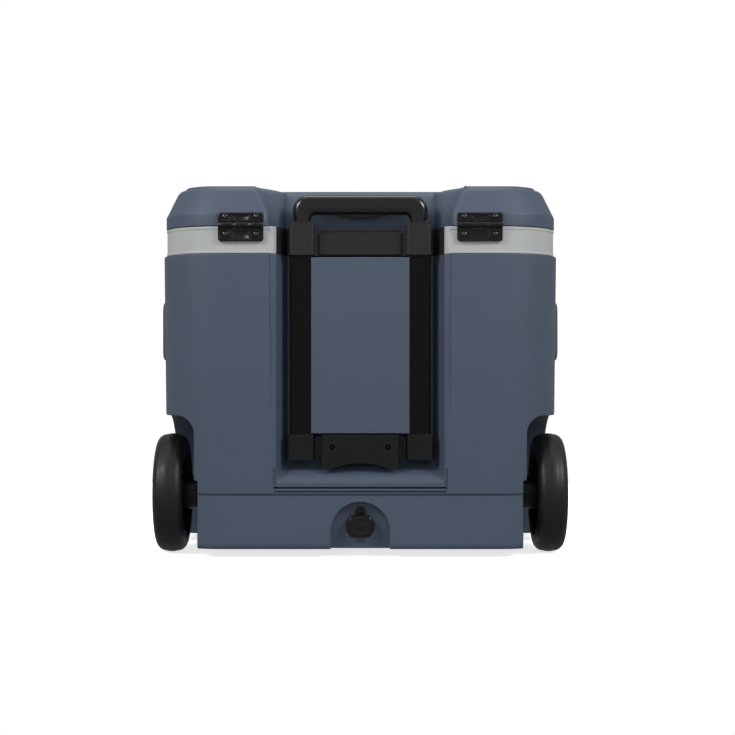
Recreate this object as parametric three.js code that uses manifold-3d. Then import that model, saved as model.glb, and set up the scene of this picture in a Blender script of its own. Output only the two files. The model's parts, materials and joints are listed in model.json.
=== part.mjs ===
// Hard-sided cooler on two wheels with a telescoping pull handle.
// Millimetres, +Z up, ground at z = 0. The handle and hinges face -Y, the front faces +Y.
import * as THREE from 'three';
import { mergeVertices } from 'three/addons/utils/BufferGeometryUtils.js';
import Module from 'manifold-3d';

const wasm = await Module();
wasm.setup();

// ---------------------------------------------------------------- overall sizes
const bodyHalfWidth = 282; // at the top edge of the body
const bodyHalfDepth = 228;
const bodyCorner = 90; // plan radius of the four upright corners
const bodyBottom = 12; // underside above the ground
const bodyTop = 423; // top edge of the coloured body
const stepHeight = 89; // where the narrower base begins
const draft = 0.0114; // inward lean of the walls per millimetre down
const wall = 3; // skin of every moulded shell
const gap = 0.3; // space kept between parts that touch
const runGap = 0.4; // space around parts that slide
const cut = 2; // how far a cutter runs past the face it opens

// ---------------------------------------------------------------- base and feet
const baseInset = 2.5; // how far the base steps in below stepHeight
const baseFlare = 3; // how far it leans out again on its way down
const baseFoot = 8; // height of the turned-in bottom edge
const footHalfLength = 32;
const footHalfWidth = 20;
const footTaper = 4;
const footCorner = 9;
const footOutX = bodyHalfWidth - 92;
const footY = bodyHalfDepth - 68;

// ---------------------------------------------------------------- rim band
const bandInset = 3.5; // band lies this far inside the body's top edge
const bandTop = bodyTop + 38.2;
const neckInset = 10; // opening in the shell's top flange
const flangeThick = 3;

// ---------------------------------------------------------------- cavity
const sideInsulation = 44; // from the body's widest line to the cavity
const frontInsulation = 46;
const rearInsulation = 82; // leaves room for the handle recess
const cavityHalfWidth = bodyHalfWidth - sideInsulation;
const cavityHalfDepth = bodyHalfDepth - (frontInsulation + rearInsulation) / 2;
const cavityCorner = 60;
const cavityShift = (rearInsulation - frontInsulation) / 2; // cavity centre sits forward of the body centre
const cavityFloor = 34;
const cavityDraft = 8; // narrowing at the floor
const cavityBevel = 12; // sloped edge round the floor
const linerWall = 2.5;
const wellInsulation = 22; // from the wheel well's skin to the cavity
const linerFlange = 3.5;

// ---------------------------------------------------------------- handle recess
const lidInset = 3; // lid lip lies this far inside the body's top edge
const backPlane = -(bodyHalfDepth - lidInset); // rear face of the lid's lip
const recessDepth = 46;
const handleX = 82; // centre of each handle leg
const railWidth = 33.5;
const railDeep = 27.7;
const handleDepth = recessDepth - gap - railDeep / 2; // centre of the legs behind the back plane
const recessInner = handleX + railWidth / 2 + 4.75; // half widths of the recess at its floor and mouth
const recessOuter = recessInner + 13.5;
const recessFacet = 9; // soft facet along the mouth
const recessFacetDepth = 5;
const rampTop = stepHeight + 44.5;
const recessRamp = [ // height and depth of the recess's foot
  [stepHeight + 15, 6],
  [stepHeight + 23, 12],
  [stepHeight + 30, 24],
  [stepHeight + 37, 37],
  [rampTop, recessDepth],
];
const ledgeHalfWidth = 122;
const ledges = [ // a shallow recess and two grooves under it: bottom, top and depth
  [stepHeight + 11.5, stepHeight + 35, 6],
  [stepHeight + 7.5, stepHeight + 10.3, 13],
  [stepHeight + 2.6, stepHeight + 4.4, 10],
];
const blockBottom = rampTop + 1.2; // lower bracket's foot blocks
const blockTop = blockBottom + 36.3;
const panelHalfWidth = handleX - railWidth / 2 - 0.75; // panel between the rails
const panelLipHalfWidth = panelHalfWidth + 4.5; // its edges lap over the rails
const panelLipDepth = recessDepth - gap - railDeep - 0.7; // laps' front and rear faces, from the back plane
const panelLipFront = panelLipDepth - 2.3;
const panelFront = panelLipFront - 2.4; // the panel bows out to here in the middle
const panelBottom = blockTop + 1.5;
const panelTop = bodyTop - 3.7;

// ---------------------------------------------------------------- wheels and wells
const wheelRadius = 85;
const wheelWidth = 42;
const wheelOutFace = bodyHalfWidth + 9.5;
const axleY = backPlane + wheelRadius + 5;
const wellWallX = wheelOutFace - 59; // upright wall beside the wheel
const wellBaseX = wellWallX - 5; // the same wall below wellStepZ
const wellStepZ = wheelRadius + 22;
const wellTop = wheelRadius * 2 + 27;
const wellFillet = 25;
const wellArchRadius = wheelRadius + 22;
const wellArchY = axleY + 22;
const axleRadius = 6;
const bossRadius = 24; // hub's inner boss, which reaches to the well wall
const bossGap = 1.5;
const socketRadius = 11;
const socketDepth = 16;
const rimRadius = wheelRadius - 25;
const shoulder = 13;
const tyreDish = 7; // how deep the wheel's faces are dished
const bushFlange = 1.2;
const wheelSides = 26; // facets round the tyre and hub

// ---------------------------------------------------------------- side handles
const padHalfLength = 110;
const padTop = bodyTop - 61;
const padBottom = padTop - 88;
const padProud = 7;
const padBevel = 6;
const padCorner = 14;
const padRoot = 32; // how deep the pad is set into the wall
const scoopHalfLength = 62;
const scoopBottom = padBottom + 14;
const scoopTop = scoopBottom + 40;
const scoopRoof = scoopTop + 18;
const scoopDepth = 26;
const scoopLip = 10;

// ---------------------------------------------------------------- drain
const drainRadius = 41; // arched recess in the base
const drainArchZ = 36.5;
const drainDepth = 18;
const capRadius = 19.4;
const capFlat = 15.2;
const capZ = 43.6;
const capThick = 9;
const spoutRadius = 9;
const spoutBore = 6.5;
const spoutFlange = 14;
const strapHalfWidth = 7.5;
const strapTop = 69;
const strapThick = 2;

// ---------------------------------------------------------------- handle
const railWall = 2;
const railTop = bodyTop - 0.7;
const tubeWall = 1.6;
const tubeCorner = 4;
const blockWidth = railWidth + 3.5;
const blockDeep = railDeep + 3.3;
const blockShift = 1.5; // the blocks stand this far outside the legs' centres
const plateHalfWidth = 53.5;
const plateBottom = blockBottom - 12.7;
const plateArch = plateBottom + 9;
const plateFront = 12.5;
const plateThick = 6;
const plateScrewX = 39;
const plateScrewZ = blockBottom + 18.3;
const linkFront = 30;
const collarBottom = railTop + gap;
const collarTop = collarBottom + 43.2;
const collarWidth = railWidth + 2.5;
const collarDeep = railDeep + 5.3;
const crossBottom = collarBottom - 2.1;
const crossTop = collarTop - 6.8;
const crossFront = 25;
const ringHeight = 4;
const gripTop = collarTop + 42.2;
const gripThick = 28.2;
const gripWidth = 26;
const gripDeep = 22;
const gripCorner = 21;
const gripRound = 8;
const releaseHalfWidth = 41;
const releaseBulge = 5;
const releaseTravel = 4;
const yokeDeep = 8;
const yokeRise = 4.5; // height of the yoke above the grip's underside
const yokeThick = 3.6;
const rodRadius = 2.5;

// ---------------------------------------------------------------- lid
const lidBottom = bandTop + 0.6;
const lipTop = lidBottom + 18.2;
const lidLean = 17; // how far the lid's sides lean in above the lip
const shoulderZ = lipTop + 34;
const deckZ = shoulderZ + 3;
const lidTop = deckZ + 3.4;
const deckInset = 21;
const platformInset = 30;
const platformCorner = 48;
const platformSlope = 4;
const lidRecessDepth = 60; // depths of the lid's cut-out for the grip, from low to high
const lidRecessHighDepth = 74;
const lidRecessRimDepth = 104;
const lidRecessMouth = 126; // half widths of the cut-out's mouth, from low to high
const lidRecessHighMouth = 140;
const lidRecessRimMouth = 148;
const lidRecessBack = 106; // half widths of its back, low and at the rim
const lidRecessRimBack = 118;
const mouthRound = 12; // round of the cut-out's upright edges
const roundShare = 0.3; // where the middle point of a quarter round lies, as a share of its radius
const cupRadius = 40;
const cupDepth = 12;
const cupX = bodyHalfWidth - 104;
const cupFrontY = bodyHalfDepth - 106;
const cupRearY = backPlane + 147;
const lipHalfWidth = 62; // lifting lip at the front
const lipReach = 8.5;
const lipRoot = 6; // how deep it is set into the lid's front
const lipRise = 2; // above the lid's lower edge
const lipDrop = 3; // below the lip's upper edge
const plateZ = bandTop + 2.3;
const plugDrop = 12;
const plugGap = 3;
const gasketWidth = 8;
const gasketOut = 6;

// ---------------------------------------------------------------- hinges
const hingeX = 166;
const hingeWidth = 63;
const hingeAxisY = backPlane - 4.5;
const hingeAxisZ = bandTop + 1.3;
const knuckleRadius = 4;
const knuckleShare = 1 / 3; // share of the width taken by the middle knuckle
const pinRadius = 1.6;
const leafBottom = hingeAxisZ - 22.5;
const leafTop = hingeAxisZ + 17.5;
const leafThick = 3.7;
const upperLeafThick = 4;
const hingeScrewX = 21.5;
const lowerScrewZ = leafBottom + 10;
const upperScrewZ = leafTop - 5.5;
const screwHead = 3.6;
const screwShank = 1.8;
const screwHeadThick = 1.6;

// ---------------------------------------------------------------- materials
function paint(color, roughness, metalness = 0) {
  return new THREE.MeshStandardMaterial({ color, roughness, metalness });
}
const slateBlue = paint(0x4d5868, 0.5);
const silverGrey = paint(0xb0afb2, 0.42);
const linerWhite = paint(0xe9ebea, 0.45);
const foamCream = paint(0xe3d9b8, 0.9);
const charcoal = paint(0x2c2c2d, 0.5);
const blackSteel = paint(0x0e0e0e, 0.4, 0.5);
const blackPlastic = paint(0x171716, 0.45);
const tyreBlack = paint(0x1b1b1b, 0.7);
const gasketGrey = paint(0x6d7072, 0.8);
const zincSteel = paint(0xb4b6b8, 0.3, 1);

// ---------------------------------------------------------------- geometry helpers
// A closed three.js geometry as a solid that can be joined and cut.
function solid(geometry) {
  if (geometry instanceof wasm.Manifold) return geometry;
  const bare = geometry.clone();
  bare.deleteAttribute('normal');
  bare.deleteAttribute('uv');
  const merged = mergeVertices(bare, 1e-4);
  return new wasm.Manifold(new wasm.Mesh({
    numProp: 3,
    vertProperties: new Float32Array(merged.attributes.position.array),
    triVerts: new Uint32Array(merged.index.array),
  }));
}

function join(...pieces) {
  return pieces.map(solid).reduce((sum, piece) => sum.add(piece));
}

function carve(base, ...cutters) {
  return cutters.map(solid).reduce((left, cutter) => left.subtract(cutter), solid(base));
}

function overlap(first, second) {
  return solid(first).intersect(solid(second));
}

function toGeometry(piece) {
  if (!(piece instanceof wasm.Manifold)) return piece;
  const { vertProperties, triVerts } = piece.getMesh();
  const geometry = new THREE.BufferGeometry();
  geometry.setAttribute('position', new THREE.BufferAttribute(vertProperties, 3));
  geometry.setIndex(new THREE.BufferAttribute(triVerts, 1));
  geometry.computeVertexNormals();
  return geometry;
}

// Points round a rectangle with round corners, anticlockwise, centred on (0, shift).
function roundedOutline(halfWidth, halfDepth, radius, shift = 0, steps = 3) {
  const shape = roundedShape(halfWidth, halfDepth, radius);
  return shape.extractPoints(steps).shape.map((point) => new THREE.Vector2(point.x, point.y + shift));
}

function roundedShape(halfWidth, halfDepth, radius) {
  const shape = new THREE.Shape();
  const x = halfWidth - radius;
  const y = halfDepth - radius;
  shape.absarc(x, y, radius, 0, Math.PI / 2);
  shape.absarc(-x, y, radius, Math.PI / 2, Math.PI);
  shape.absarc(-x, -y, radius, Math.PI, Math.PI * 1.5);
  shape.absarc(x, -y, radius, Math.PI * 1.5, Math.PI * 2);
  return shape;
}

// A closed body through outlines of equal point count, one per level, from the bottom up.
function loft(levels) {
  const count = levels[0].outline.length;
  const points = levels.flatMap(({ z, outline }) => outline.flatMap((point) => [point.x, point.y, z]));
  const index = [];
  for (let level = 0; level < levels.length - 1; level += 1) {
    for (let i = 0; i < count; i += 1) {
      const a = level * count + i;
      const b = level * count + ((i + 1) % count);
      index.push(a, b, b + count, a, b + count, a + count);
    }
  }
  const last = (levels.length - 1) * count;
  for (const [a, b, c] of THREE.ShapeUtils.triangulateShape(levels[0].outline, [])) {
    index.push(a, c, b);
  }
  for (const [a, b, c] of THREE.ShapeUtils.triangulateShape(levels[levels.length - 1].outline, [])) {
    index.push(last + a, last + b, last + c);
  }
  const geometry = new THREE.BufferGeometry();
  geometry.setAttribute('position', new THREE.Float32BufferAttribute(points, 3));
  geometry.setIndex(index);
  return geometry;
}

// Turns a geometry modelled along +Z so that it runs along X or Y and its outline stands upright.
function alongX(geometry) {
  const turn = new THREE.Matrix4().makeBasis(
    new THREE.Vector3(0, 1, 0), new THREE.Vector3(0, 0, 1), new THREE.Vector3(1, 0, 0));
  return geometry.applyMatrix4(turn);
}

function alongY(geometry) {
  const turn = new THREE.Matrix4().makeBasis(
    new THREE.Vector3(-1, 0, 0), new THREE.Vector3(0, 0, 1), new THREE.Vector3(0, 1, 0));
  return geometry.applyMatrix4(turn);
}

function prism(shape, from, to, curveSegments = 3) {
  const geometry = new THREE.ExtrudeGeometry(shape, { depth: to - from, bevelEnabled: false, curveSegments });
  return geometry.translate(0, 0, from);
}

function box(x0, x1, y0, y1, z0, z1) {
  const geometry = new THREE.BoxGeometry(x1 - x0, y1 - y0, z1 - z0);
  return geometry.translate((x0 + x1) / 2, (y0 + y1) / 2, (z0 + z1) / 2);
}

function rodX(radius, x0, x1, y, z, sides = 24) {
  const geometry = new THREE.CylinderGeometry(radius, radius, Math.abs(x1 - x0), sides);
  return geometry.rotateZ(Math.PI / 2).translate((x0 + x1) / 2, y, z);
}

function rodY(radius, y0, y1, x, z, sides = 24) {
  const geometry = new THREE.CylinderGeometry(radius, radius, Math.abs(y1 - y0), sides);
  return geometry.translate(x, (y0 + y1) / 2, z);
}

function rodZ(radius, z0, z1, x, y, sides = 24) {
  const geometry = new THREE.CylinderGeometry(radius, radius, Math.abs(z1 - z0), sides);
  return geometry.rotateX(Math.PI / 2).translate(x, y, (z0 + z1) / 2);
}

// A square tube along Z: outer size, wall and the round of its edges.
function squareTube(width, deep, thick, corner, z0, z1) {
  const shape = roundedShape(width / 2, deep / 2, corner);
  shape.holes.push(roundedShape(width / 2 - thick, deep / 2 - thick, Math.max(corner - thick, 0.8)));
  return prism(shape, z0, z1, 1);
}

const root = new THREE.Group();
root.name = 'cooler_on_wheels';

function place(name, piece, material, parent) {
  const mesh = new THREE.Mesh(toGeometry(piece), material);
  mesh.name = name;
  parent.add(mesh);
  return mesh;
}

function addGroup(name, parent = root) {
  const group = new THREE.Group();
  group.name = name;
  parent.add(group);
  return group;
}

const sides = [['left', -1], ['right', 1]];

// ---------------------------------------------------------------- shapes shared by several parts
// The body's outside, shrunk by an inset: base, step, drafted wall.
function bodyBlock(inset, bottom, top) {
  const at = (z, extra) => {
    const shrink = inset + extra;
    return {
      z,
      outline: roundedOutline(bodyHalfWidth - shrink, bodyHalfDepth - shrink, bodyCorner - shrink),
    };
  };
  const lean = (z) => (bodyTop - z) * draft;
  const stepLean = lean(stepHeight);
  const baseTop = stepHeight - 1.5;
  return loft([
    at(bottom, stepLean + baseInset - baseFlare + wall),
    at(bottom + baseFoot, stepLean + baseInset - baseFlare),
    at(baseTop, stepLean + baseInset),
    at(stepHeight, stepLean),
    at(top, lean(top)),
  ]);
}

// The recess that holds the handle, grown by an amount on its walls. Its floor ramps out at the foot.
function handleRecess(grow, top) {
  const mouth = -bodyHalfDepth - cut;
  const at = (z, depth) => {
    const floor = backPlane + depth + grow;
    const facet = Math.min(backPlane + recessFacetDepth + grow, floor - gap);
    const narrow = ((recessOuter - recessInner) * depth) / recessDepth;
    const half = [
      [recessOuter + recessFacet + grow, mouth],
      [recessOuter + recessFacet + grow, backPlane],
      [recessOuter + grow, facet],
      [recessOuter - narrow + grow, floor],
    ];
    const outline = [...half.map(([x, y]) => [-x, y]), ...half.reverse()];
    return { z, outline: outline.map(([x, y]) => new THREE.Vector2(x, y)).reverse() };
  };
  return loft([...recessRamp.map(([z, depth]) => at(z - grow, depth)), at(top, recessDepth)]);
}

function ledgeRecess(grow) {
  const half = ledgeHalfWidth + grow;
  const cutIn = ([bottom, top, depth]) =>
    box(-half, half, -bodyHalfDepth - cut, backPlane + depth + grow, bottom - grow, top + grow);
  return join(...ledges.map(cutIn));
}

// The bowed panel that fills the recess between the rails, with edges that lap over them.
function bowedPanel(shrink, bottom, top) {
  const floor = backPlane + recessDepth;
  const half = panelHalfWidth - shrink;
  const lip = panelLipHalfWidth - shrink;
  const lipRear = backPlane + panelLipDepth;
  const lipFront = backPlane + panelLipFront + shrink;
  const front = backPlane + panelFront + shrink;
  const shape = new THREE.Shape();
  shape.moveTo(half, floor + wall * 2);
  shape.lineTo(-half, floor + wall * 2);
  if (shrink > 0) {
    shape.lineTo(-half, lipFront);
  } else {
    shape.lineTo(-half, lipRear);
    shape.lineTo(-lip, lipRear);
    shape.lineTo(-lip, lipFront);
  }
  shape.bezierCurveTo(-half * 0.7, front, -half * 0.4, front, 0, front);
  shape.bezierCurveTo(half * 0.4, front, half * 0.7, front, shrink > 0 ? half : lip, lipFront);
  if (shrink === 0) {
    shape.lineTo(lip, lipRear);
    shape.lineTo(half, lipRear);
  }
  shape.closePath();
  return prism(shape, bottom, top, 6);
}

// Room for one wheel, grown on its walls: flat wall, round corner and arched front.
function wheelWell(side, grow) {
  const reach = bodyHalfWidth + 40;
  const inner = wellWallX - grow;
  const ceiling = wellTop + grow;
  const section = new THREE.Shape();
  section.moveTo(inner, -cut * 4);
  section.lineTo(inner, ceiling - wellFillet);
  section.absarc(inner + wellFillet, ceiling - wellFillet, wellFillet, Math.PI, Math.PI / 2, true);
  section.lineTo(reach, ceiling);
  section.lineTo(reach, -cut * 4);
  const profile = new THREE.Shape();
  const radius = wellArchRadius + grow;
  const archZ = wellTop - wellArchRadius;
  profile.moveTo(-bodyHalfDepth * 1.3, -cut * 4);
  profile.lineTo(-bodyHalfDepth * 1.3, ceiling);
  profile.lineTo(wellArchY, ceiling);
  profile.absarc(wellArchY, archZ, radius, Math.PI / 2, 0, true);
  profile.lineTo(wellArchY + radius, -cut * 4);
  const across = alongY(prism(section, -bodyHalfDepth * 1.3, bodyHalfDepth, 3));
  const forward = alongX(prism(profile, -reach, 0, 5));
  const foot = box(-reach, -wellBaseX + grow, -bodyHalfDepth * 1.3, bodyHalfDepth,
    -cut * 4, wellStepZ + grow);
  const well = overlap(join(across, foot), forward);
  return side < 0 ? well : mirrored(well);
}

// The same solid on the other side of the middle plane.
function mirrored(piece) {
  const geometry = toGeometry(piece).toNonIndexed();
  geometry.scale(-1, 1, 1);
  const position = geometry.attributes.position;
  const first = new THREE.Vector3();
  const second = new THREE.Vector3();
  for (let i = 0; i < position.count; i += 3) {
    first.fromBufferAttribute(position, i);
    second.fromBufferAttribute(position, i + 1);
    position.setXYZ(i, second.x, second.y, second.z);
    position.setXYZ(i + 1, first.x, first.y, first.z);
  }
  return solid(geometry);
}

function scoop(side, grow) {
  const face = bodyHalfWidth + padProud;
  const back = face - scoopDepth - grow;
  const half = scoopHalfLength + grow;
  const mouth = box(back, face + cut, -half, half, scoopBottom - grow, scoopTop + grow);
  const roof = box(back, face - scoopLip, -half, half, scoopTop - grow, scoopRoof + grow);
  const pocket = join(mouth, roof);
  return side > 0 ? pocket : mirrored(pocket);
}

function drainArch(grow) {
  const radius = drainRadius + grow;
  const shape = new THREE.Shape();
  shape.moveTo(radius, bodyBottom - cut * 2 - grow);
  shape.lineTo(radius, drainArchZ);
  shape.absarc(0, drainArchZ, radius, 0, Math.PI);
  shape.lineTo(-radius, bodyBottom - cut * 2 - grow);
  return alongY(prism(shape, -bodyHalfDepth - cut, backPlane + drainDepth + grow, 6));
}

// Everything that is taken out of the body's outside, grown by the skin where the skin follows it.
function bodyRecesses(grow) {
  const bowed = bowedPanel(grow, panelBottom + grow, panelTop - grow);
  return join(
    carve(handleRecess(grow, bodyTop + cut), bowed),
    ledgeRecess(grow),
    drainArch(grow),
    ...sides.map(([, side]) => wheelWell(side, grow)),
    ...sides.map(([, side]) => scoop(side, grow)),
  );
}

function cavityBlock(grow, bottom, top) {
  const at = (z, inset) => ({
    z,
    outline: roundedOutline(cavityHalfWidth + grow - inset, cavityHalfDepth + grow - inset,
      cavityCorner + grow - inset, cavityShift),
  });
  const lean = (z) => (cavityDraft * (bandTop - z)) / (bandTop - cavityFloor);
  const block = loft([
    at(bottom, lean(bottom) + cavityBevel),
    at(bottom + cavityBevel, lean(bottom + cavityBevel)),
    at(top, lean(top)),
  ]);
  return carve(block, ...sides.map(([, side]) => wheelWell(side, wellInsulation - grow)));
}

const axleZ = wheelRadius;
const drainWallY = backPlane + drainDepth; // rear face of the drain recess
const cavityRear = cavityShift - cavityHalfDepth;
const drainInnerY = cavityRear + cavityDraft + cavityBevel + cut; // clear of the cavity's rear wall

// ---------------------------------------------------------------- tub
const tub = addGroup('tub');

function sideHandlePad(side) {
  const half = (padTop - padBottom) / 2;
  const start = bodyHalfWidth - padRoot;
  const levels = [[0, 0], [padRoot + padProud - padBevel, 0], [padRoot + padProud, padBevel]];
  const pad = alongX(loft(levels.map(([z, inset]) => ({
    z, outline: roundedOutline(padHalfLength - inset, half - inset, padCorner - inset, 0, 2),
  }))));
  pad.translate(start, 0, (padTop + padBottom) / 2);
  return side > 0 ? solid(pad) : mirrored(pad);
}

function axleSocket(side, inner, outer, radius) {
  return rodX(radius, side * inner, side * outer, axleY, axleZ, 24);
}

function outerShell() {
  const socketInner = wellBaseX - socketDepth;
  const outside = join(
    bodyBlock(0, bodyBottom, bodyTop),
    ...sides.map(([, side]) => sideHandlePad(side)),
  );
  const skin = carve(outside, bodyRecesses(0));
  const flangeZ = bodyTop - flangeThick;
  const neckOpening = loft([flangeZ - cut, bodyTop + cut].map((z) => ({
    z,
    outline: roundedOutline(bodyHalfWidth - neckInset, bodyHalfDepth - neckInset, bodyCorner - neckInset),
  })));
  const hollow = carve(
    join(bodyBlock(wall, bodyBottom + wall, flangeZ), carve(neckOpening, handleRecess(wall, lidTop))),
    bodyRecesses(wall),
    ...sides.map(([, side]) => axleSocket(side, socketInner, wellBaseX, socketRadius)),
  );
  const bores = sides.map(([, side]) =>
    axleSocket(side, socketInner + wall, wellBaseX + cut, axleRadius + gap));
  const drainHole = rodY(spoutRadius + gap, drainWallY - wall, drainWallY + wall * 2, 0, capZ, 20);
  return carve(skin, hollow, ...bores, drainHole, plateScrewHoles(screwShank + gap));
}

function plateScrewHoles(radius) {
  const floor = backPlane + recessDepth;
  return join(...sides.map(([, side]) =>
    rodY(radius, floor - cut, floor + wall + cut, side * plateScrewX, plateScrewZ, 8)));
}

function foamInsulation() {
  const skin = wall + gap;
  const neck = loft([bodyTop - flangeThick - cut, bandTop - linerFlange - gap].map((z) => ({
    z,
    outline: roundedOutline(bodyHalfWidth - neckInset - gap, bodyHalfDepth - neckInset - gap,
      bodyCorner - neckInset),
  })));
  const block = join(
    carve(bodyBlock(skin, bodyBottom + skin, bodyTop - flangeThick - gap), bodyRecesses(skin)),
    carve(neck, handleRecess(skin, lidTop)),
  );
  const sockets = sides.map(([, side]) =>
    axleSocket(side, wellBaseX - socketDepth - gap, wellBaseX, socketRadius + gap));
  return carve(
    block,
    cavityBlock(linerWall + gap, cavityFloor - linerWall - gap, lidTop),
    rodY(spoutRadius + gap * 2, drainWallY, drainInnerY, 0, capZ, 20),
    plateScrewHoles(screwShank + gap),
    ...sockets,
  );
}

function innerLiner() {
  const top = bandTop - 0.2;
  const flange = carve(
    loft([top - linerFlange, top].map((z) => ({
      z,
      outline: roundedOutline(bodyHalfWidth - bandInset - wall - gap, bodyHalfDepth - bandInset - wall - gap,
        bodyCorner - bandInset - wall),
    }))),
    handleRecess(wall + gap, lidTop),
  );
  const shell = join(cavityBlock(linerWall, cavityFloor - linerWall, top - 1), flange);
  return carve(
    shell,
    cavityBlock(0, cavityFloor, lidTop),
    rodY(spoutRadius + gap, cavityRear - cut, drainInnerY, 0, capZ, 20),
  );
}

function rimBand() {
  const ring = (inset, z0, z1) => loft([z0, z1].map((z) => ({
    z, outline: roundedOutline(bodyHalfWidth - inset, bodyHalfDepth - inset, bodyCorner - inset),
  })));
  const bottom = bodyTop + gap;
  const outside = carve(ring(bandInset, bottom, bandTop), handleRecess(0, lidTop));
  const inside = carve(ring(bandInset + wall, bottom - cut, bandTop + cut), handleRecess(wall, lidTop));
  return carve(outside, inside, hingeScrewHoles(lowerScrewZ));
}

function frontFoot() {
  const foot = [[0, footTaper], [bodyBottom - gap, 0]];
  return loft(foot.map(([z, inset]) => ({
    z, outline: roundedOutline(footHalfLength - inset, footHalfWidth - inset, footCorner - inset, 0, 1),
  })));
}

place('outer_shell', outerShell(), slateBlue, tub);
place('foam_insulation', foamInsulation(), foamCream, tub);
place('inner_liner', innerLiner(), linerWhite, tub);
place('rim_band', rimBand(), silverGrey, tub);
for (const [name, side] of sides) {
  place(`front_foot_${name}`, frontFoot(), blackPlastic, tub).position.set(side * footOutX, footY, 0);
}

// ---------------------------------------------------------------- wheels
// One wheel is modelled about its own centre, with its axis along X and its outer face at +X.
const halfWheel = wheelWidth / 2;
const hubFace = halfWheel - tyreDish;

function turned(points, segments) {
  const profile = points.map(([radius, along]) => new THREE.Vector2(radius, along));
  return new THREE.LatheGeometry(profile, segments).rotateZ(-Math.PI / 2);
}

// The tread is slightly crowned between its round shoulders.
function tyre() {
  const crown = 1.2;
  const shoulderSteps = 3;
  const points = [[rimRadius, -halfWheel + 2]];
  for (const end of [-1, 1]) {
    for (let i = 0; i <= shoulderSteps; i += 1) {
      const angle = (Math.PI / 2 / shoulderSteps) * (end < 0 ? i : shoulderSteps - i);
      const radius = wheelRadius - crown - shoulder + shoulder * Math.sin(angle);
      const along = halfWheel - shoulder + shoulder * Math.cos(angle);
      points.push([radius, end * along]);
    }
    if (end < 0) points.push([wheelRadius, 0]);
  }
  points.push([rimRadius, halfWheel - 2], [rimRadius, -halfWheel + 2]);
  return turned(points, wheelSides);
}

function hub() {
  const outer = rimRadius - gap;
  const bore = axleRadius + 2 + gap;
  const web = 4;
  const face = hubFace;
  const innerEnd = -(wheelOutFace - halfWheel - wellWallX - bossGap);
  return turned([
    [bore, innerEnd], [bossRadius, innerEnd], [bossRadius, -web], [outer - 4, -web],
    [outer - 4, -halfWheel + 3], [outer, -halfWheel + 3], [outer, halfWheel - 3], [outer - 4, halfWheel - 3],
    [outer - 4, web], [22, web], [22, face], [bore, face], [bore, innerEnd],
  ], wheelSides);
}

function hubCap() {
  const dome = 5;
  return turned([
    [0, hubFace + gap], [20, hubFace + gap], [20, hubFace + 2], [12, hubFace + dome],
    [0, hubFace + dome + 1],
  ], 20);
}

function bush() {
  const start = -(wheelOutFace - halfWheel - wellBaseX - gap);
  const bore = axleRadius + gap * 0.5;
  const outer = axleRadius + 2;
  return turned([
    [bore, start], [outer + 2, start], [outer + 2, start + bushFlange], [outer, start + bushFlange],
    [outer, hubFace - 8], [bore, hubFace - 8], [bore, start],
  ], 20);
}

for (const [name, side] of sides) {
  const wheel = addGroup(`wheel_${name}`);
  wheel.position.set(side * (wheelOutFace - halfWheel), axleY, axleZ);
  wheel.rotation.z = side > 0 ? 0 : Math.PI;
  place(`tyre_${name}`, tyre(), tyreBlack, wheel);
  place(`hub_${name}`, hub(), blackPlastic, wheel);
  place(`hub_cap_${name}`, hubCap(), charcoal, wheel);
  place(`axle_bush_${name}`, bush(), zincSteel, wheel);
}

// Each stub axle sits in its socket in the well wall and ends in a push-on nut under the hub cap.
function stubAxle() {
  const inner = wellBaseX - socketDepth + wall + gap;
  const outer = wheelOutFace - tyreDish - 2;
  return rodX(axleRadius, inner, outer, 0, 0, 24);
}

function axleNut() {
  const outer = wheelOutFace - tyreDish - 2.4;
  return turned([
    [axleRadius + gap, outer - 3], [axleRadius + 1.6, outer - 3], [axleRadius + 1.6, outer],
    [axleRadius + gap, outer], [axleRadius + gap, outer - 3],
  ], 16);
}

for (const [name, side] of sides) {
  const stub = addGroup(`axle_group_${name}`, tub);
  stub.position.set(0, axleY, axleZ);
  stub.rotation.z = side > 0 ? 0 : Math.PI;
  place(`stub_axle_${name}`, stubAxle(), zincSteel, stub);
  place(`axle_nut_${name}`, axleNut(), zincSteel, stub);
}

// ---------------------------------------------------------------- handle
const handleY = backPlane + handleDepth;
const recessWallY = backPlane + recessDepth - gap;
const midWidth = railWidth - (railWall + runGap) * 2;
const midDeep = railDeep - (railWall + runGap) * 2;
const innerWidth = midWidth - (tubeWall + runGap) * 2;
const innerDeep = midDeep - (tubeWall + runGap) * 2;

function lowerBracket() {
  const blocks = sides.map(([, side]) => {
    const shape = roundedShape(blockWidth / 2, blockDeep / 2, 3);
    const block = prism(shape, blockBottom, blockTop, 1);
    return block.translate(side * (handleX + blockShift), recessWallY - blockDeep / 2, 0);
  });
  const link = box(-handleX, handleX, backPlane + linkFront, recessWallY, blockBottom + 2, blockTop - 2);
  const front = backPlane + plateFront;
  const plate = alongY(prism(bracketPlate(), front, recessWallY, 6));
  const behind = box(-plateHalfWidth - cut, plateHalfWidth + cut, front + plateThick, recessWallY + cut,
    plateBottom - cut, blockBottom);
  const holes = sides.map(([, side]) => join(
    rodY(screwShank + gap, front - cut, recessWallY + cut, side * plateScrewX, plateScrewZ, 8),
    rodY(screwHead + gap, front - cut, front + plateThick + 4, side * plateScrewX, plateScrewZ, 12),
  ));
  return carve(join(...blocks, link, carve(plate, behind)), ...holes);
}

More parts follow.
